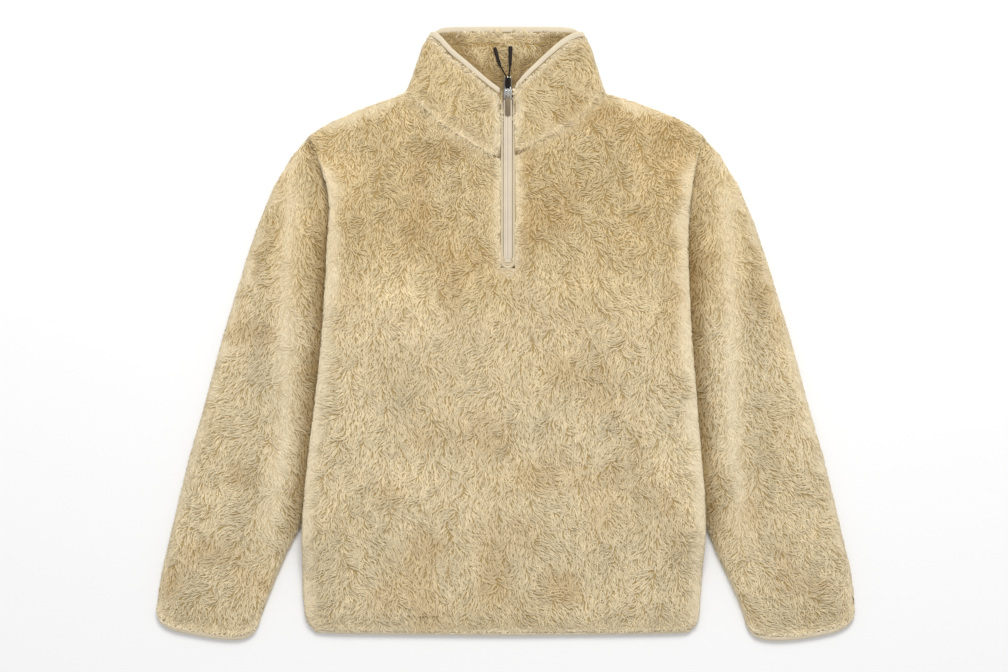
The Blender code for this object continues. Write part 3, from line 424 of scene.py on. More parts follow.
def cloth_material(name, colour, rib, relief, roughness=0.85):
    """Plain knitted or woven tape: fine ribs both ways with slight uneven tone."""
    made = Nodes(name, roughness, Sheen_Weight=0.15)
    place = made.add("TexCoord").outputs["Object"]
    ribs = []
    for direction in ("X", "Y"):
        wave = made.add("TexWave", {"Vector": place, "Scale": rib, "Distortion": 0.6},
                        bands_direction=direction)
        ribs.append(wave.outputs["Fac"])
    woven = made.add("Math", {0: ribs[0], 1: ribs[1]}, operation="MULTIPLY").outputs[0]
    patchy = made.add("TexNoise", {"Vector": place, "Scale": 60.0, "Detail": 4.0})
    tone = made.mix("MIX", patchy.outputs[0], colour4(*[0.93 * c for c in colour]),
                    colour4(*[min(1.04 * c, 255) for c in colour]))
    made.link(made.mix("MULTIPLY", 0.25, tone, woven), "Base Color")
    made.bump(woven, relief, 0.0003)
    return made.material


def metal_material(name, colour, roughness):
    """Plated metal, with fine rubbed streaks in its finish."""
    made = Nodes(name, roughness, 1.0)
    place = made.add("TexCoord").outputs["Object"]
    rubbed = made.add("TexNoise", {"Vector": place, "Scale": 900.0, "Detail": 3.0}).outputs[0]
    return made.finish(rubbed, colour4(*[0.86 * c for c in colour]), colour4(*colour), 0.12, 0.0001)


def cord_material():
    """Black braid: one set of fine bands, slanted across it."""
    made = Nodes("black_braid", 0.8, Specular_IOR_Level=0.2)
    place = made.add("TexCoord").outputs["Object"]
    turned = made.add("VectorRotate", {"Vector": place, "Angle": math.radians(45)}).outputs[0]
    bands = made.add("TexWave", {"Vector": turned, "Scale": 900.0, "Distortion": 0.4})
    return made.finish(bands.outputs["Fac"], colour4(14, 11, 11), colour4(40, 34, 31), 0.6, 0.0003)


def plastic_material():
    made = Nodes("moulded_plastic", 0.5, Specular_IOR_Level=0.25)
    place = made.add("TexCoord").outputs["Object"]
    grain = made.add("TexNoise", {"Vector": place, "Scale": 1500.0, "Detail": 2.0}).outputs[0]
    return made.finish(grain, colour4(22, 15, 13), colour4(42, 32, 28), 0.2, 0.0001)


# Cloth shells


def open_solid(node):
    """A copy of a CAD solid's mesh to edit, with its points joined."""
    bm = bmesh.new()
    bm.from_mesh(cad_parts[node].data)
    bmesh.ops.remove_doubles(bm, verts=bm.verts, dist=MERGE * MM)
    return bm


def close_solid(bm, name):
    """An object from an edited copy."""
    mesh = bpy.data.meshes.new(name)
    bm.to_mesh(mesh)
    bm.free()
    return add_object(name, mesh)


def ground_shell(node, solids):
    """The knitted ground of a fleece piece: the solid's form, evened and a little inside it.

    Where another piece meets it at a seam, the two grounds are moved together instead.
    """
    bm = open_solid(node)
    bmesh.ops.dissolve_degenerate(bm, edges=bm.edges, dist=SLIVER * MM)
    bmesh.ops.triangulate(bm, faces=bm.faces)
    for _ in range(HALVINGS):
        long = [e for e in bm.edges if e.calc_length() > LONG_EDGE * MM]
        bmesh.ops.subdivide_edges(bm, edges=long, cuts=1)
        bmesh.ops.triangulate(bm, faces=bm.faces)
    bmesh.ops.recalc_face_normals(bm, faces=bm.faces)
    made = close_solid(bm, node + "_ground")
    mesh = made.data
    points = read(mesh.vertices, "co", 3)
    corners = read(mesh.polygons, "vertices", 3, np.int32)
    sides = np.concatenate([corners[:, [0, 1]], corners[:, [1, 2]], corners[:, [2, 0]]])
    even = np.abs(wide_normals(points, corners)[:, 2]) > EVEN_FROM
    for _ in range(SMOOTH_ROUNDS):
        total, number = np.zeros(len(points)), np.zeros(len(points))
        np.add.at(total, sides[:, 0], points[sides[:, 1], 2])
        np.add.at(number, sides[:, 0], 1)
        points[even, 2] = (points[:, 2] + total / np.maximum(number, 1))[even] / 2
    normals = wide_normals(points, corners)
    cloths = Surface(*[solids[name] for name in PILE if name != node])
    tapes = Surface(*[solids[name] for name in TRIMS])
    depth = PILE_DEPTH * MM * rise(normals[:, 2], INSET_START)
    away = np.minimum(cloths.distance(points), tapes.distance(points))
    depth *= ease(away / (SEAM_BLEND * MM))
    steep = np.abs(normals[:, 2]) < STEEP_TO
    gap = cloths.gaps(points, normals, SEAM_REACH * MM)
    depth = np.where(steep & (gap > 0), -gap / 2, depth)
    gap = tapes.gaps(points, normals, TAPE_REACH * MM)
    depth = np.where(steep & (gap > 0), -gap, depth)
    points -= normals * depth[:, None]
    if node == "front_panel":
        points[:, 2] += fold_height(points / MM) * MM * ease(normals[:, 2] * 2)
        to_end = np.array(ZIP_END) * MM - points[:, :2]
        pull = ZIP_PULL * fall(np.linalg.norm(to_end, axis=1) / MM, ZIP_PULL_REACH)
        points[:, :2] += to_end * pull[:, None]
        half, low, deep, near = (value * MM for value in NECK_PLACE)
        neck = (np.abs(points[:, 0] - ZIP_X * MM) < half) & (away < near)
        neck &= (points[:, 1] > low) & (points[:, 2] > deep)
        points[neck, 1] += NECK_TUCK * MM
    points[:, 2] = np.maximum(points[:, 2], LOWEST * MM)
    mesh.vertices.foreach_set("co", points.ravel())
    mesh.update()
    mesh.shade_smooth()
    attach(made, "garment")
    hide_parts(node)
    return made


def wide_normals(points, corners):
    """Each point's normal, in which a face counts by its area, so that slivers hardly do."""
    tri = points[corners]
    cross = np.cross(tri[:, 1] - tri[:, 0], tri[:, 2] - tri[:, 0])
    normals = np.zeros_like(points)
    for k in range(3):
        np.add.at(normals, corners[:, k], cross)
    return unit(normals)


def fold_height(points):
    """How high the front's soft ridges are at each place, in millimetres."""
    height = np.zeros(len(points))
    for x0, y0, x1, y1, half, tall in FOLDS:
        start, way = np.array([x0, y0]), np.array([x1 - x0, y1 - y0])
        offset = points[:, :2] - start
        share = np.clip(offset @ way / (way @ way), 0, 1)
        away = np.linalg.norm(offset - share[:, None] * way, axis=1)
        height += tall * np.exp(-((away / half) ** 2))
    return height


class Surface:
    """Meshes as triangles, to scatter places on and to find the nearest place on."""

    def __init__(self, *objects):
        points, corners = [], []
        start = 0
        for obj in objects:
            mesh = obj.data
            mesh.calc_loop_triangles()
            points.append(read(mesh.vertices, "co", 3))
            corners.append(read(mesh.loop_triangles, "vertices", 3, np.int32) + start)
            start += len(mesh.vertices)
        self.points = np.vstack(points)
        self.corners = np.vstack(corners)
        self.normals = wide_normals(self.points, self.corners)
        self.tree = BVHTree.FromPolygons(self.points.tolist(), self.corners.tolist())

    def scatter(self, room, rng, lowest):
        """Random places, one for each room of area, on faces whose normals' Z is over lowest."""
        tri = self.points[self.corners]
        cross = np.cross(tri[:, 1] - tri[:, 0], tri[:, 2] - tri[:, 0])
        size = np.linalg.norm(cross, axis=1)
        weight = np.where(cross[:, 2] > lowest * size, size, 0)
        count = int(weight.sum() / 2 / room)
        pick = rng.choice(len(tri), count, p=weight / weight.sum())
        first, second = rng.random((2, count))
        first = np.sqrt(first)
        share = np.stack([1 - first, first * (1 - second), first * second], axis=1)[:, :, None]
        places = (tri[pick] * share).sum(1)
        normals = unit((self.normals[self.corners[pick]] * share).sum(1))
        return places, normals

    def distance(self, places):
        """How far each place is from the nearest face."""
        return np.array([self.tree.find_nearest(Vector(p))[3] for p in places.tolist()])

    def settle(self, points):
        """The nearest places on the faces, and the normals there."""
        placed = np.empty_like(points)
        up = np.empty_like(points)
        for k, point in enumerate(points.tolist()):
            near, normal, _, _ = self.tree.find_nearest(Vector(point))
            placed[k] = near
            up[k] = normal
        return placed, up

    def gaps(self, places, ways, reach):
        """How far each place is from the next face along its way, or 0 if nothing is in reach."""
        start = places + ways * RAY_STARTS[0] * MM
        found = np.zeros(len(places))
        for k, (place, way) in enumerate(zip(start.tolist(), ways.tolist())):
            far = self.tree.ray_cast(Vector(place), Vector(way), reach)[3]
            found[k] = far or 0.0
        return found

    def clear_above(self, places, normals, reach):
        """Which places have nothing over them within reach."""
        return self.gaps(places + normals * RAY_STARTS[1] * MM, normals, reach) == 0

    def painted_shade(self, places, normals, rng):
        """Painted shade: how much higher faces nearby shut each place in, from 0 to 1."""
        side = unit(np.cross(normals, [0.3, 0.8, 0.5]))
        other = np.cross(normals, side)
        start = places + normals * RAY_STARTS[2] * MM
        found = np.zeros(len(places))
        first = rng.random(len(places))
        for k in range(SHADE_RAYS):
            turn = 2 * math.pi * (first + k / SHADE_RAYS)
            way = side * np.cos(turn)[:, None] + other * np.sin(turn)[:, None]
            far = self.gaps(start, unit(way + normals * SHADE_SLOPE), SHADE_REACH * MM)
            found += np.where(far > 0, 1 - far / (SHADE_REACH * MM), 0)
        return ease(SHADE_GAIN * found / SHADE_RAYS)


def inner_collar_shade(x, y, z):
    """Painted shade inside the back collar at each place, from 0 at its top edge."""
    top, low, half = INNER_COLLAR
    deep = sum(depth * fall(y, place) for place, depth in COLLAR_SHADES)
    return np.where((z < top) & (y > low) & (np.abs(x) < half), deep, 0)


def fleece_tint(x, y, soft):
    """The pile's colour in linear light over the plan, in millimetres. Soft rims and the sleeves'
    ridges get a painted highlight, the front's soft ridges lighter painted patches, and the troughs
    beside the sleeves' ridges painted shade.
    """
    gold = rise(y, GOLD_PLACE) + GOLD_DRIFT[0] * smooth_noise(x, y, GOLD_DRIFT[1], seed=5)
    gold = np.clip(gold, 0, 1)[:, None]
    tint = srgb(*CREAM) * (1 - gold) + srgb(*GOLD) * gold
    cloud, size, gain, less = OCHRE_CLOUDS
    ochre = cloud * ease(smooth_noise(x, y, size, seed=6) * gain - less)
    for px, py, radius, strength in OCHRE_PATCHES:
        uneven = OCHRE_EDGE[0] * smooth_noise(x, y, OCHRE_EDGE[1], seed=7)
        away = np.hypot(x - px, y - py) + uneven
        ochre = np.maximum(ochre, strength * ease(OCHRE_FADE - away / radius))
    ochre = ochre[:, None] * OCHRE_SHARE
    tint = tint * (1 - ochre) + srgb(*OCHRE) * ochre
    tone = 1 + TONE_DRIFT[0] * smooth_noise(x, y, TONE_DRIFT[1], seed=8)
    # lighter patches are painted highlights along the front's soft ridges, darker ones lower the tone
    for px, py, long, wide, angle, change in TONE_AND_HIGHLIGHT_PATCHES:
        c, s = math.cos(math.radians(angle)), math.sin(math.radians(angle))
        along = ((x - px) * c + (y - py) * s) / long
        across = ((y - py) * c - (x - px) * s) / wide
        tone += change * np.exp(-(along**2) - across**2)
    # painted shade in the trough outside each sleeve's ridge
    trough = np.exp(-(((GARMENT.off_ridge(x, y) - TROUGH_AWAY) / TROUGH_WIDTH) ** 2))
    tone -= TROUGH_SHADE * trough * GARMENT.on_ridge(y) * (np.abs(x) > TROUGH_OUT)
    tint = tint * tone[:, None]
    # painted highlight on smooth rims and ridges, and paler flattened pile by seams
    pale = SOFT_HIGHLIGHT * soft[:, None]
    return tint * (1 - pale) + srgb(*PALE_HIGHLIGHT) * pale


class Garment:
    """Where the solids' edges and the sleeves' ridges are."""

    ROWS = 40
    ROW_REACH = 26.0
    COLUMN_REACH = 22.0

    def __init__(self):
        self.edges = {}
        top = read(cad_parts["front_panel"].data.vertices, "co", 3) / MM
        self.columns = np.linspace(top[:, 0].min(), top[:, 0].max(), self.ROWS)
        near = [np.abs(top[:, 0] - x) < self.COLUMN_REACH for x in self.columns]
        self.tops = np.array([top[column, 1].max() for column in near])
        for part in ("front_panel", "sleeve_left", "sleeve_right"):
            points = read(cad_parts[part].data.vertices, "co", 3) / MM
            points = np.unique(points.round(1), axis=0)
            levels = np.linspace(points[:, 1].min(), points[:, 1].max(), self.ROWS)
            rows = []
            for y in levels:
                near = points[np.abs(points[:, 1] - y) < self.ROW_REACH]
                rows.append((near[:, 0].min(), near[:, 0].max()))
            self.edges[part] = (levels, np.array(rows))

    def inside(self, part, x, y):
        """How far in from the piece's left and right outline each plan place is."""
        levels, rows = self.edges[part]
        left = x - np.interp(y, levels, rows[:, 0])
        right = np.interp(y, levels, rows[:, 1]) - x
        return left, right

    def off_ridge(self, x, y):
        """How far outside the sleeve's soft ridge each plan place is."""
        heights, left, right = np.array(RIDGE_LINE).T
        return np.where(x < 0, np.interp(y, heights, left) - x, x - np.interp(y, heights, right))

    def on_ridge(self, y):
        """1 along the middle of the sleeves' ridges, and 0 beyond their ends."""
        return rise(y, RIDGE_ENDS[0]) * fall(y, RIDGE_ENDS[1])

    def softness_and_highlight(self, part, x, y, normals):
        """How smooth the pile is and how much painted highlight it gets: 1 at a rim or on a ridge, 0
        elsewhere.
        """
        tilt = fall(normals[:, 2], TILT)
        wide = 1 + RIM_DRIFT * smooth_noise(x, y, 24, seed=31)
        if part in ("front_panel", "back_panel"):
            left, right = self.inside("front_panel", x, y)
            near = ease((TORSO_RIM[1] * wide - np.minimum(left, right)) / np.ptp(TORSO_RIM))
            below = np.interp(x, self.columns, self.tops) - y
            top = ease((SHOULDER_RIM[1] * wide - below) / np.ptp(SHOULDER_RIM))
            top *= SMOOTH["shoulder"] * rise(np.abs(x), SHOULDER_OUT)
            near = SMOOTH["side"] * near * fall(y, TORSO_RIM_TOP)
            return np.maximum(np.maximum(SMOOTH["tilt"] * tilt, top), near)
        if part.startswith("sleeve"):
            left, right = self.inside(part, x, y)
            outer = left if part == "sleeve_left" else right
            near = ease((SLEEVE_RIM[1] * wide - outer) / np.ptp(SLEEVE_RIM))
            near = SMOOTH["sleeve_side"] * near
            crest = np.exp(-((self.off_ridge(x, y) / (RIDGE_WIDTH * wide)) ** 2))
            crest = SMOOTH["ridge"] * crest * self.on_ridge(y)
            return np.maximum(SMOOTH["sleeve_tilt"] * tilt, np.maximum(near, crest))
        return SMOOTH["collar_tilt"] * tilt


def tufts(x, y):
    """Two random values from -1 to 1 for each plan place, alike within each uneven tuft."""
    grid = np.random.default_rng(41).random((4, TUFT_CELLS, TUFT_CELLS))
    drift, size = TUFT_DRIFT
    u = x / TUFT_SIZE + drift * smooth_noise(x, y, size, seed=42) + TUFT_MIDDLE
    v = y / TUFT_SIZE * TUFT_STRETCH + drift * smooth_noise(x, y, size, seed=43) + TUFT_MIDDLE
    i, j = np.floor(u).astype(int), np.floor(v).astype(int)
    nearest = np.full(len(x), np.inf)
    found = np.zeros((2, len(x)))
    for a in (-1, 0, 1):
        for b in (-1, 0, 1):
            cell = (i + a) % TUFT_CELLS, (j + b) % TUFT_CELLS
            away = np.hypot(i + a + grid[0][cell] - u, j + b + grid[1][cell] - v)
            found = np.where(away < nearest, np.stack([grid[2][cell], grid[3][cell]]), found)
            nearest = np.minimum(away, nearest)
    return 2 * found - 1


def zip_lap(x, y):
    """1 beside the zip's ends, where the pile laps over its sides, and 0 elsewhere."""
    away = np.abs(x - ZIP_X)
    high = fall(away, ZIP_LAP_REACH) * rise(y, ZIP_LAP)
    low = fall(away, ZIP_END_REACH) * fall(y, ZIP_END_LAP) * (y > ZIP_END_FLOOR)
    return high + ZIP_END_SHARE * low


def chest_share(y):
    """0 where the pile lies in long waves, and 1 where it has the chest's tight whorls."""
    return rise(y, CHEST)


def flow_angle(part, x, y):
    """The way that the pile lies at each plan place, tufts apart, as an angle."""
    swirl, size = PILE[part][5:7]
    turn = swirl * smooth_noise(x, y, size, seed=11)
    turn += 0.5 * swirl * smooth_noise(x, y, size / 2, seed=12)
    if part.startswith("sleeve"):
        out, more, width = SLEEVE_TURN
        turn += np.sign(x) * (out + more * np.tanh(GARMENT.off_ridge(x, y) / width))
    elif part == "collar":
        inward = COLLAR_INWARD[0] + COLLAR_INWARD[1] * rise(y, COLLAR_INWARD_TOP)
        inward = inward * zip_lap(x, y)
        turn = turn + COLLAR_TURN[0] * np.tanh(x / COLLAR_TURN[1]) - inward * np.sign(x - ZIP_X)
        turn += 180 * rise(y, COLLAR_UP) * (np.abs(x) < COLLAR_UP_HALF)
    else:
        chest = chest_share(y)
        turn *= 1 - CHEST_CALMER * chest
        turn += CHEST_WHORLS[0] * chest * smooth_noise(x, y, CHEST_WHORLS[1], seed=15)
        turn += BODY_WAVES[0] * smooth_noise(x, y, BODY_WAVES[1], seed=13)
        aside = SIDE_TURN[0] + SIDE_TURN[1] * rise(y, SIDE_HIGH)
        turn += aside * np.sign(x) * rise(np.abs(x), SIDE_BAND)
    if part == "front_panel":
        inward = np.degrees(np.arctan2(ZIP_END[1] - y, ZIP_END[0] - x)) + 90
        inward = (inward + 180) % 360 - 180
        away = np.hypot(x - ZIP_END[0], y - ZIP_END[1])
        low = (y > ZIP_END_FLOOR) * fall(y, ZIP_END_LAP) * fall(away, ZIP_END_TURN)
        turn += low * (inward - turn)
    return np.radians(turn - 90)


def find_room(places, ways, along, across):
    """Picks strands so that none starts in another's room, an ellipse that lies along it."""
    kept = []
    taken = {}
    cells = np.floor(places[:, :2] / along).astype(int).tolist()
    near = [(a, b) for a in (-1, 0, 1) for b in (-1, 0, 1)]
    for k, (cell, place, way) in enumerate(zip(cells, places.tolist(), ways.tolist())):
        free = True
        for a, b in near:
            for other in taken.get((cell[0] + a, cell[1] + b), ()):
                dx, dy, dz = other[0] - place[0], other[1] - place[1], other[2] - place[2]
                s = dx * way[0] + dy * way[1] + dz * way[2]
                aside = dx * dx + dy * dy + dz * dz - s * s
                if s * s / along**2 + aside / across**2 < 1:
                    free = False
                    break
            if not free:
                break
        if free:
            kept.append(k)
            taken.setdefault(tuple(cell), []).append(place)
    return np.array(kept)


def lie_along(angle, normals):
    """Directions on the cloth, from angles in the plan and a slight fall."""
    plan = np.stack([np.cos(angle), np.sin(angle), np.full(len(angle), STRAND_FALL)], axis=1)
    return unit(plan - (plan * normals).sum(1)[:, None] * normals)


def strand_lengths(part, x, y, soft, seam, free, offset, long):
    """Strands' lengths in metres: changed at seams, cut at trims, longer at the front's rims."""
    long = long * (1 + SEAM_LONGER.get(part, SEAM_SHORTER) * seam)
    lapped = OVER_TRIM + LAP * zip_lap(x, y) + HEM_LAP * (y < HEM_HIGH)
    beside = (np.abs(x - ZIP_X) < BESIDE_ZIP) & (y < ZIP_LAP[0]) & (y > ZIP_END_LAP[0])
    toward = np.where(beside, np.abs(np.cos(flow_angle(part, x, y) + offset)), 1)
    room = (free + lapped * MM) / long / np.maximum(toward, LEAST_TOWARD)
    long = long * np.clip(room, SHORTEST, 1)
    if part == "front_panel":
        inside = np.minimum(*GARMENT.inside(part, x, y))
        rim = fall(inside, RIM_REACH) * rise(y, RIM_LOW)
        long = long * (1 + RIM_LONGER * np.maximum(soft, rim))
    return long


def lay_strands(part, places, normals, long, offset, bend, cover):
    """Where each strand's rows of points lie on the cloth, with their ups and ways."""
    rows, ups, ways = [places], [normals], []
    for step in range(1, len(STRAND_STEPS)):
        share = STRAND_STEPS[step] - STRAND_STEPS[step - 1]
        here = rows[-1] / MM
        angle = flow_angle(part, here[:, 0], here[:, 1]) + offset + bend * STRAND_STEPS[step] ** 2
        ways.append(lie_along(angle, ups[-1]))
        settled, up = cover.settle(rows[-1] + ways[-1] * (long * share)[:, None])
        rows.append(settled)
        ups.append(unit(up + STRAND_KEEP * ups[-1]))
    return rows, ups, ways


def off_zip(rows, x, y):
    """Which strands keep clear of the zip."""
    clear = ZIP_CLEAR - LAP * zip_lap(x, y)
    over = np.zeros(len(x), bool)
    for row in rows:
        over |= (np.abs(row[:, 0] / MM - ZIP_X) < clear) & (row[:, 2] > ZIP_LOW * MM)
    return ~(over & (y > ZIP_FROM))


def grow_strands(name, part, places, normals, facts, cover, rng, look):
    """One piece of joined pile strands: curved, tapered ridges that lie on the ground cloth."""
    length, width, height, _, _, _, _, tuft_turn, curl = PILE[part]
    soft, painted_shade, seam, free = facts
    count = len(places)
    x, y = places[:, 0] / MM, places[:, 1] / MM
    chest = chest_share(y) * (part == "front_panel")
    lean, curve = tufts(x, y)
    long = length * MM * rng.uniform(*LENGTH_SPREAD, count) * (1 - CHEST_SHORTER * chest)
    stray = rng.normal(0, STRAY, count)
    offset = np.radians(tuft_turn * (1 + CHEST_TURN * chest) * lean + stray)
    long = strand_lengths(part, x, y, soft, seam, free, offset, long)
    wide = width * MM * rng.uniform(*WIDTH_SPREAD, count) * (1 - CHEST_NARROWER * chest)
    tall = height * MM * rng.uniform(*HEIGHT_SPREAD, count)
    tall = tall * (1 - SOFT_FLATTER * soft) * (1 - SEAM_FLATTER * seam)
    bend = np.radians(curl * curve + rng.normal(0, BEND_STRAY, count))
    rows, ups, ways = lay_strands(part, places, normals, long, offset, bend, cover)
    tone = rng.normal(1 + TUFT_TONE * curve, TONE_SPREAD, count)[:, None]
    tone = 1 + (tone - 1) * (1 - SOFT_EVENER * soft[:, None])
    tone = tone * (COLLAR_TONE if part == "collar" else 1)
    tint = tone * fleece_tint(x, y, np.maximum(soft, SEAM_PALE * seam))
    # painted shade where higher cloth nearby shuts the pile in
    tint = tint * (1 - (1 - PAINTED_SHADE_COLOUR) * painted_shade[:, None])
    # painted shade between strands, at their roots and edges, with the pile's deeper root colour
    shaded_root = tint * ROOT_AND_GAP_SHADE
    seed = rng.uniform(0, 50, count)
    even = RIDGE_EVENER * soft[:, None]
    filled = EDGE_FILLED * np.maximum(soft, SEAM_PALE * seam)[:, None]
    points, tints, strands = [], [], []
    for k in range(len(STRAND_STEPS)):
        ridge = rows[k] + ups[k] * (STRAND_RIDGE[k] * tall)[:, None]
        bright = tint * (RIDGE_SHADE[k] + (SOFT_RIDGE_SHADE - RIDGE_SHADE[k]) * even)
        place = np.stack([seed * 0, np.full(count, STRAND_STEPS[k]), seed], axis=1)
        if k == len(STRAND_STEPS) - 1:
            points.append(ridge[:, None])
            tints.append(bright[:, None])
            strands.append(place[:, None])
            continue
        across = np.cross(ups[k], ways[k]) * (STRAND_WIDTH[k] * wide / 2)[:, None]
        low = rows[k] + ups[k] * (STRAND_EDGE[k] * tall)[:, None]
        edge = shaded_root + (bright - shaded_root) * (EDGE_SHARE[k] + (1 - EDGE_SHARE[k]) * filled)
        points.append(np.stack([low + across, ridge, low - across], axis=1))
        tints.append(np.stack([edge, bright, edge], axis=1))
        strands.append(np.stack([place + [s, 0, 0] for s in STREAK_SIDES], axis=1))
    keep = off_zip(rows, x, y)
    points = np.concatenate(points, axis=1)[keep]
    tints = np.concatenate(tints, axis=1)[keep]
    strands = np.concatenate(strands, axis=1)[keep]
    start = (np.arange(len(points)) * STRAND_POINTS)[:, None, None]
    quads = (start + np.array(STRAND_QUADS)).reshape(-1, 4)
    triangles = (start + np.array(STRAND_TIP)).reshape(-1, 3)
    points[..., 2] = np.maximum(points[..., 2], LOWEST * MM)
    made = quick_mesh(name, points.reshape(-1, 3), quads, triangles)
    set_fibres(made, tints.reshape(-1, 3), strands.reshape(-1, 3))
    made.data.materials.append(look)
    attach(made, "garment")
    return made


def quick_mesh(name, points, quads, triangles):
    """A smooth mesh object from arrays of quads and triangles."""
    mesh = bpy.data.meshes.new(name)
    loops = np.concatenate([quads.ravel(), triangles.ravel()])
    sizes = np.concatenate([np.full(len(quads), 4), np.full(len(triangles), 3)])
    mesh.vertices.add(len(points))
    mesh.vertices.foreach_set("co", points.astype(np.float32).ravel())
    mesh.loops.add(len(loops))
    mesh.loops.foreach_set("vertex_index", loops.astype(np.int32))
    mesh.polygons.add(len(sizes))
    starts = np.concatenate([[0], np.cumsum(sizes)[:-1]])
    mesh.polygons.foreach_set("loop_start", starts.astype(np.int32))
    mesh.update(calc_edges=True)
    mesh.validate()
    mesh.shade_smooth()
    return add_object(name, mesh)


def soft_and_painted_shade(part, places, normals, cover, rng):
    """How smooth the pile is at each place, which also sets its painted highlight, and how much painted
    shade it gets.
    """
    x, y, z = places.T / MM
    soft = GARMENT.softness_and_highlight(part, x, y, normals)
    # less painted shade high up and at the front's hem
    shade_share = 1 - UPPER_OPEN * rise(y, UPPER) * (part != "collar")
    shade_share = shade_share * (1 - HEM_OPEN * fall(y, HEM_RIM) * (part == "front_panel"))
    painted_shade = cover.painted_shade(places, normals, rng) * shade_share
    # the back collar's inside gets painted shade as well
    if part == "collar":
        painted_shade = np.maximum(painted_shade, inner_collar_shade(x, y, z))
    return soft, painted_shade


def tint_ground(shell, part, edges, cover, rng, look):
    """Colours the knitted ground, with painted shade where pile stands over it."""
    shell.data.materials.append(look)
    points = read(shell.data.vertices, "co", 3)
    normals = read(shell.data.vertices, "normal", 3)
    soft, painted_shade = soft_and_painted_shade(part, points, normals, cover, rng)
    away = np.minimum(*[edge.distance(points) for edge in edges])
    near = np.maximum(soft, ease(BAND_FADES[1] - away / (ZIP_BAND * MM)))
    # painted shade on the ground under the pile, lighter near seams and smooth places
    shaded_root = ROOT_AND_GAP_SHADE + (1 - ROOT_AND_GAP_SHADE) * ROOT_NEAR_SEAM * near[:, None]
    tint = fleece_tint(points[:, 0] / MM, points[:, 1] / MM, near) * shaded_root * GROUND_LIFT
    # painted shade where higher cloth nearby shuts the ground in
    tint = tint * (1 - (1 - PAINTED_SHADE_COLOUR) * painted_shade[:, None])
    set_fibres(shell, tint, points * STREAKS)


def place_strands(shell, part, cover, rng):
    """Where the strands of a piece's pile start, on what shows of it."""
    along, across = (value * MM for value in PILE[part][3:5])
    places, normals = Surface(shell).scatter(ROOM * along * across / CROWDING, rng, LOWEST_FACE)
    shown = cover.clear_above(places, normals, COVER_REACH * MM)
    places, normals = places[shown], normals[shown]
    x, y, _ = places.T / MM
    angle = flow_angle(part, x, y) + np.radians(PILE[part][7] * tufts(x, y)[0])
    kept = find_room(places, lie_along(angle, normals), along, across)
    return places[kept], normals[kept]


def build_fleece():
    """The five fleece pieces: their ground cloth, and the pile on what shows of each."""
    look = fleece_material()
    solids = {part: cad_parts[part] for part in (*PILE, *TRIMS)}
    shells = {part: ground_shell(part, solids) for part in PILE}
    edging = [solids[node] for node in TRIMS]
    trims, cover = Surface(*edging), Surface(*shells.values(), *edging)
    body, neck = Surface(shells["front_panel"]), Surface(shells["collar"])
    piles = {}
    for number, (part, shell) in enumerate(shells.items()):
        rng = np.random.default_rng(100 + number)
        joined = body if part == "collar" else neck
        tint_ground(shell, part, (trims, joined), cover, rng, look)
        places, normals = place_strands(shell, part, cover, rng)
        soft, painted_shade = soft_and_painted_shade(part, places, normals, cover, rng)
        x, y, _ = places.T / MM
        free = trims.distance(places)
        by_zip = (np.abs(x - ZIP_X) < ZIP_BAND_PLACE[0]) & (y < ZIP_BAND_PLACE[1])
        seam = ease(BAND_FADES[0] - free / (np.where(by_zip, ZIP_BAND, SEAM_BAND) * MM))
        if part == "collar":
            near = ease(BAND_FADES[1] - body.distance(places) / (NECK_BAND * MM))
            near = near * (normals[:, 2] > NECK_BAND_TILT)
            seam = np.maximum(seam, NECK_BAND_SHARE * near)
        piles[part] = []
        share = math.ceil(len(places) * STRAND_FACES / PIECE_FACES)
        order = np.argsort(places[:, 0], kind="stable")
        for k, group in enumerate(np.array_split(order, share)):
            name = f"{part}_pile_{k + 1}" if share > 1 else f"{part}_pile"
            facts = (soft[group], painted_shade[group], seam[group], free[group])
            pile = grow_strands(name, part, places[group], normals[group], facts, cover, rng, look)
            piles[part].append(pile)
    return shells, piles


# Zip and pull


def assign(node, look):
    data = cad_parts[node].data
    data.materials.clear()
    data.materials.append(look)


def rounded_copy(node, look, width, body="garment"):
    """A finer copy of a hard CAD piece, with rounded edges, in its place."""
    bm = open_solid(node)
    flat = [e for e in bm.edges if e.calc_face_angle(0) < math.radians(1)]
    bmesh.ops.dissolve_edges(bm, edges=flat, use_verts=True)
    made = close_solid(bm, node + "_finish")
    bevel = made.modifiers.new("round", "BEVEL")
    bevel.width = width * MM
    bevel.segments = 3
    bevel.limit_method = "ANGLE"
    bevel.angle_limit = math.radians(35)
    bevel.harden_normals = True
    made.data.shade_smooth()
    made.data.materials.append(look)
    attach(made, body)
    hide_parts(node)
    return made


def soft_copy(node, look):
    """A smoother copy of a soft CAD trim, in its place."""
    made = close_solid(open_solid(node), node + "_tape")
    soften = made.modifiers.new("soften", "SUBSURF")
    soften.levels = soften.render_levels = 1
    made.data.shade_smooth()
    made.data.materials.append(look)
    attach(made, "garment")
    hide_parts(node)
    return made


def build_zip_end(look):
    """The turned-under end of the zip's tapes, inside the welt's lower bend."""
    tape = read(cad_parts["zip_tape_left"].data.vertices, "co", 3)
    low = tape[:, 1].min()
    end, depth, thick = ZIP_PLATE_DEPTH
    top = tape[tape[:, 1] < low + end * MM, 2].max() - depth * MM
    half, below, above = ZIP_PLATE
    left, right = (ZIP_X - half) * MM, (ZIP_X + half) * MM
    near, far = low - below * MM, low + above * MM
    ring = [(left, near), (right, near), (right, far), (left, far)]
    points = [(x, y, z) for z in (top - thick * MM, top) for x, y in ring]
    sides = [(k, (k + 1) % 4, (k + 1) % 4 + 4, k + 4) for k in range(4)]
    made = make_mesh("zip_tape_end", points, [(3, 2, 1, 0), (4, 5, 6, 7), *sides], False)
    made.data.materials.append(look)
    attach(made, "garment")


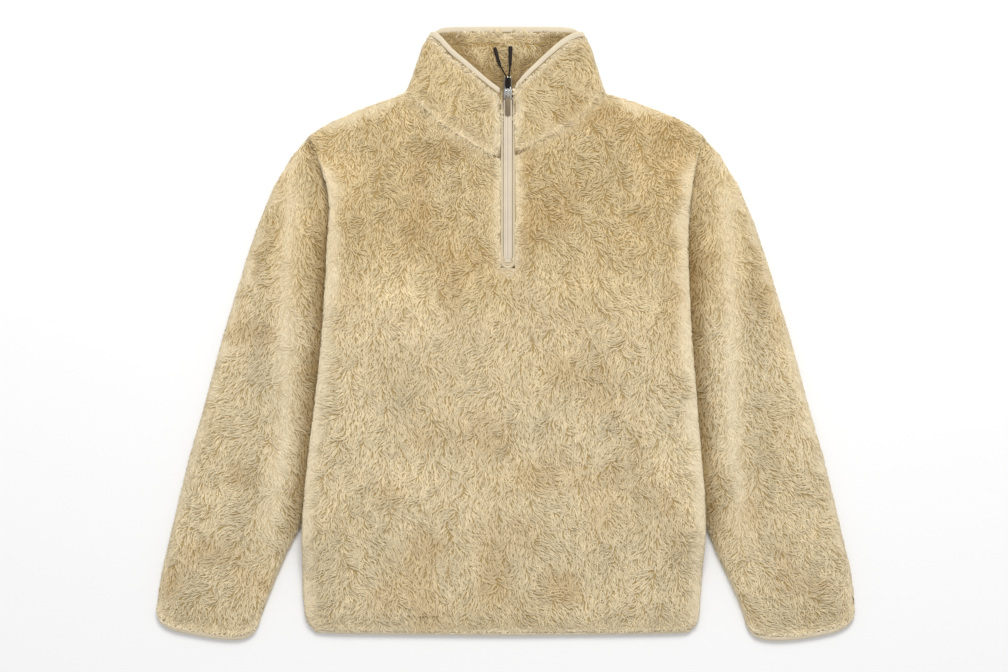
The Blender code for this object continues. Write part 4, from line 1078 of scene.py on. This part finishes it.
def build_cords(look, tip_look):
    """The pull cord's two legs, each from inside the knot into its moulded tip."""
    for side, points in CORDS.items():
        data = bpy.data.curves.new("pull_cord_" + side, "CURVE")
        data.dimensions = "3D"
        data.bevel_depth = CORD_RADIUS * MM
        data.bevel_resolution = 4
        data.use_fill_caps = True
        line = data.splines.new("NURBS")
        line.points.add(len(points) - 1)
        for point, place in zip(line.points, points):
            point.co = (*[value * MM for value in place], 1)
        line.order_u = 3
        line.use_endpoint_u = True
        line.resolution_u = 8
        made = add_object("pull_cord_" + side, data)
        data.materials.append(look)
        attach(made, "garment")
        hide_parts("cord_" + side)
        assign("cord_tip_" + side, tip_look)


# Camera, floor and light


def build_camera():
    data = bpy.data.cameras.new("camera")
    data.lens = LENS
    data.sensor_width = SENSOR
    data.clip_end = 100
    made = add_object("camera", data)
    made.location = [v * MM for v in CAMERA_PLACE]
    bpy.context.scene.camera = made


def build_studio():
    bpy.context.scene.view_settings.view_transform = "Standard"
    half = FLOOR_SIZE / 2 * MM
    floor = make_mesh("floor", [(-half, -half, 0), (half, -half, 0), (half, half, 0), (-half, half, 0)],
                      [(0, 1, 2, 3)])
    made = Nodes("plain_floor", 0.9)
    made.shader.inputs["Base Color"].default_value = colour4(*FLOOR_COLOUR)
    floor.data.materials.append(made.material)
    world = bpy.data.worlds.new("studio")
    world.use_nodes = True
    world.node_tree.nodes["Background"].inputs["Color"].default_value = (1, 1, 1, 1)
    world.node_tree.nodes["Background"].inputs["Strength"].default_value = WORLD_STRENGTH
    bpy.context.scene.world = world
    data = bpy.data.lights.new("key", "AREA")
    data.size = KEY_SIZE * MM
    data.energy = KEY_WATTS
    key = add_object("key", data)
    key.location = [v * MM for v in KEY_PLACE]
    key.rotation_euler = (-key.location).to_track_quat("-Z", "Y").to_euler()


GARMENT = Garment()


def main():
    build_camera()
    braid, plastic = cord_material(), plastic_material()
    build_cords(braid, plastic)
    build_studio()
    shells, piles = build_fleece()
    tape = cloth_material("binding_tape", (228, 211, 177), 700.0, 0.3)
    # the collar, hem and cuff tapes: the tape's pale tone, lightened as painted light to make up for
    # the shade where they turn down and aside
    lightened_edge_tape = cloth_material("hem_tape", (238, 223, 194), 700.0, 0.3)
    trims = {node: soft_copy(node, tape if node == "zip_welt" else lightened_edge_tape) for node in TRIMS}
    zipper = cloth_material("zip_tape", (236, 221, 197), 420.0, 0.25, 0.7)
    for node in ("zip_tape_left", "zip_tape_right", "zip_stop"):
        assign(node, zipper)
    build_zip_end(tape)
    bright = metal_material("bright_plating", (200, 198, 194), 0.25)
    dull = metal_material("dull_plating", (150, 134, 110), 0.42)
    rounded_copy("slider", bright, 0.25)
    assign("pull_loop", bright)
    rounded_copy("pull_tab", dull, 0.25, "pull")
    assign("cord_knot", braid)


main()
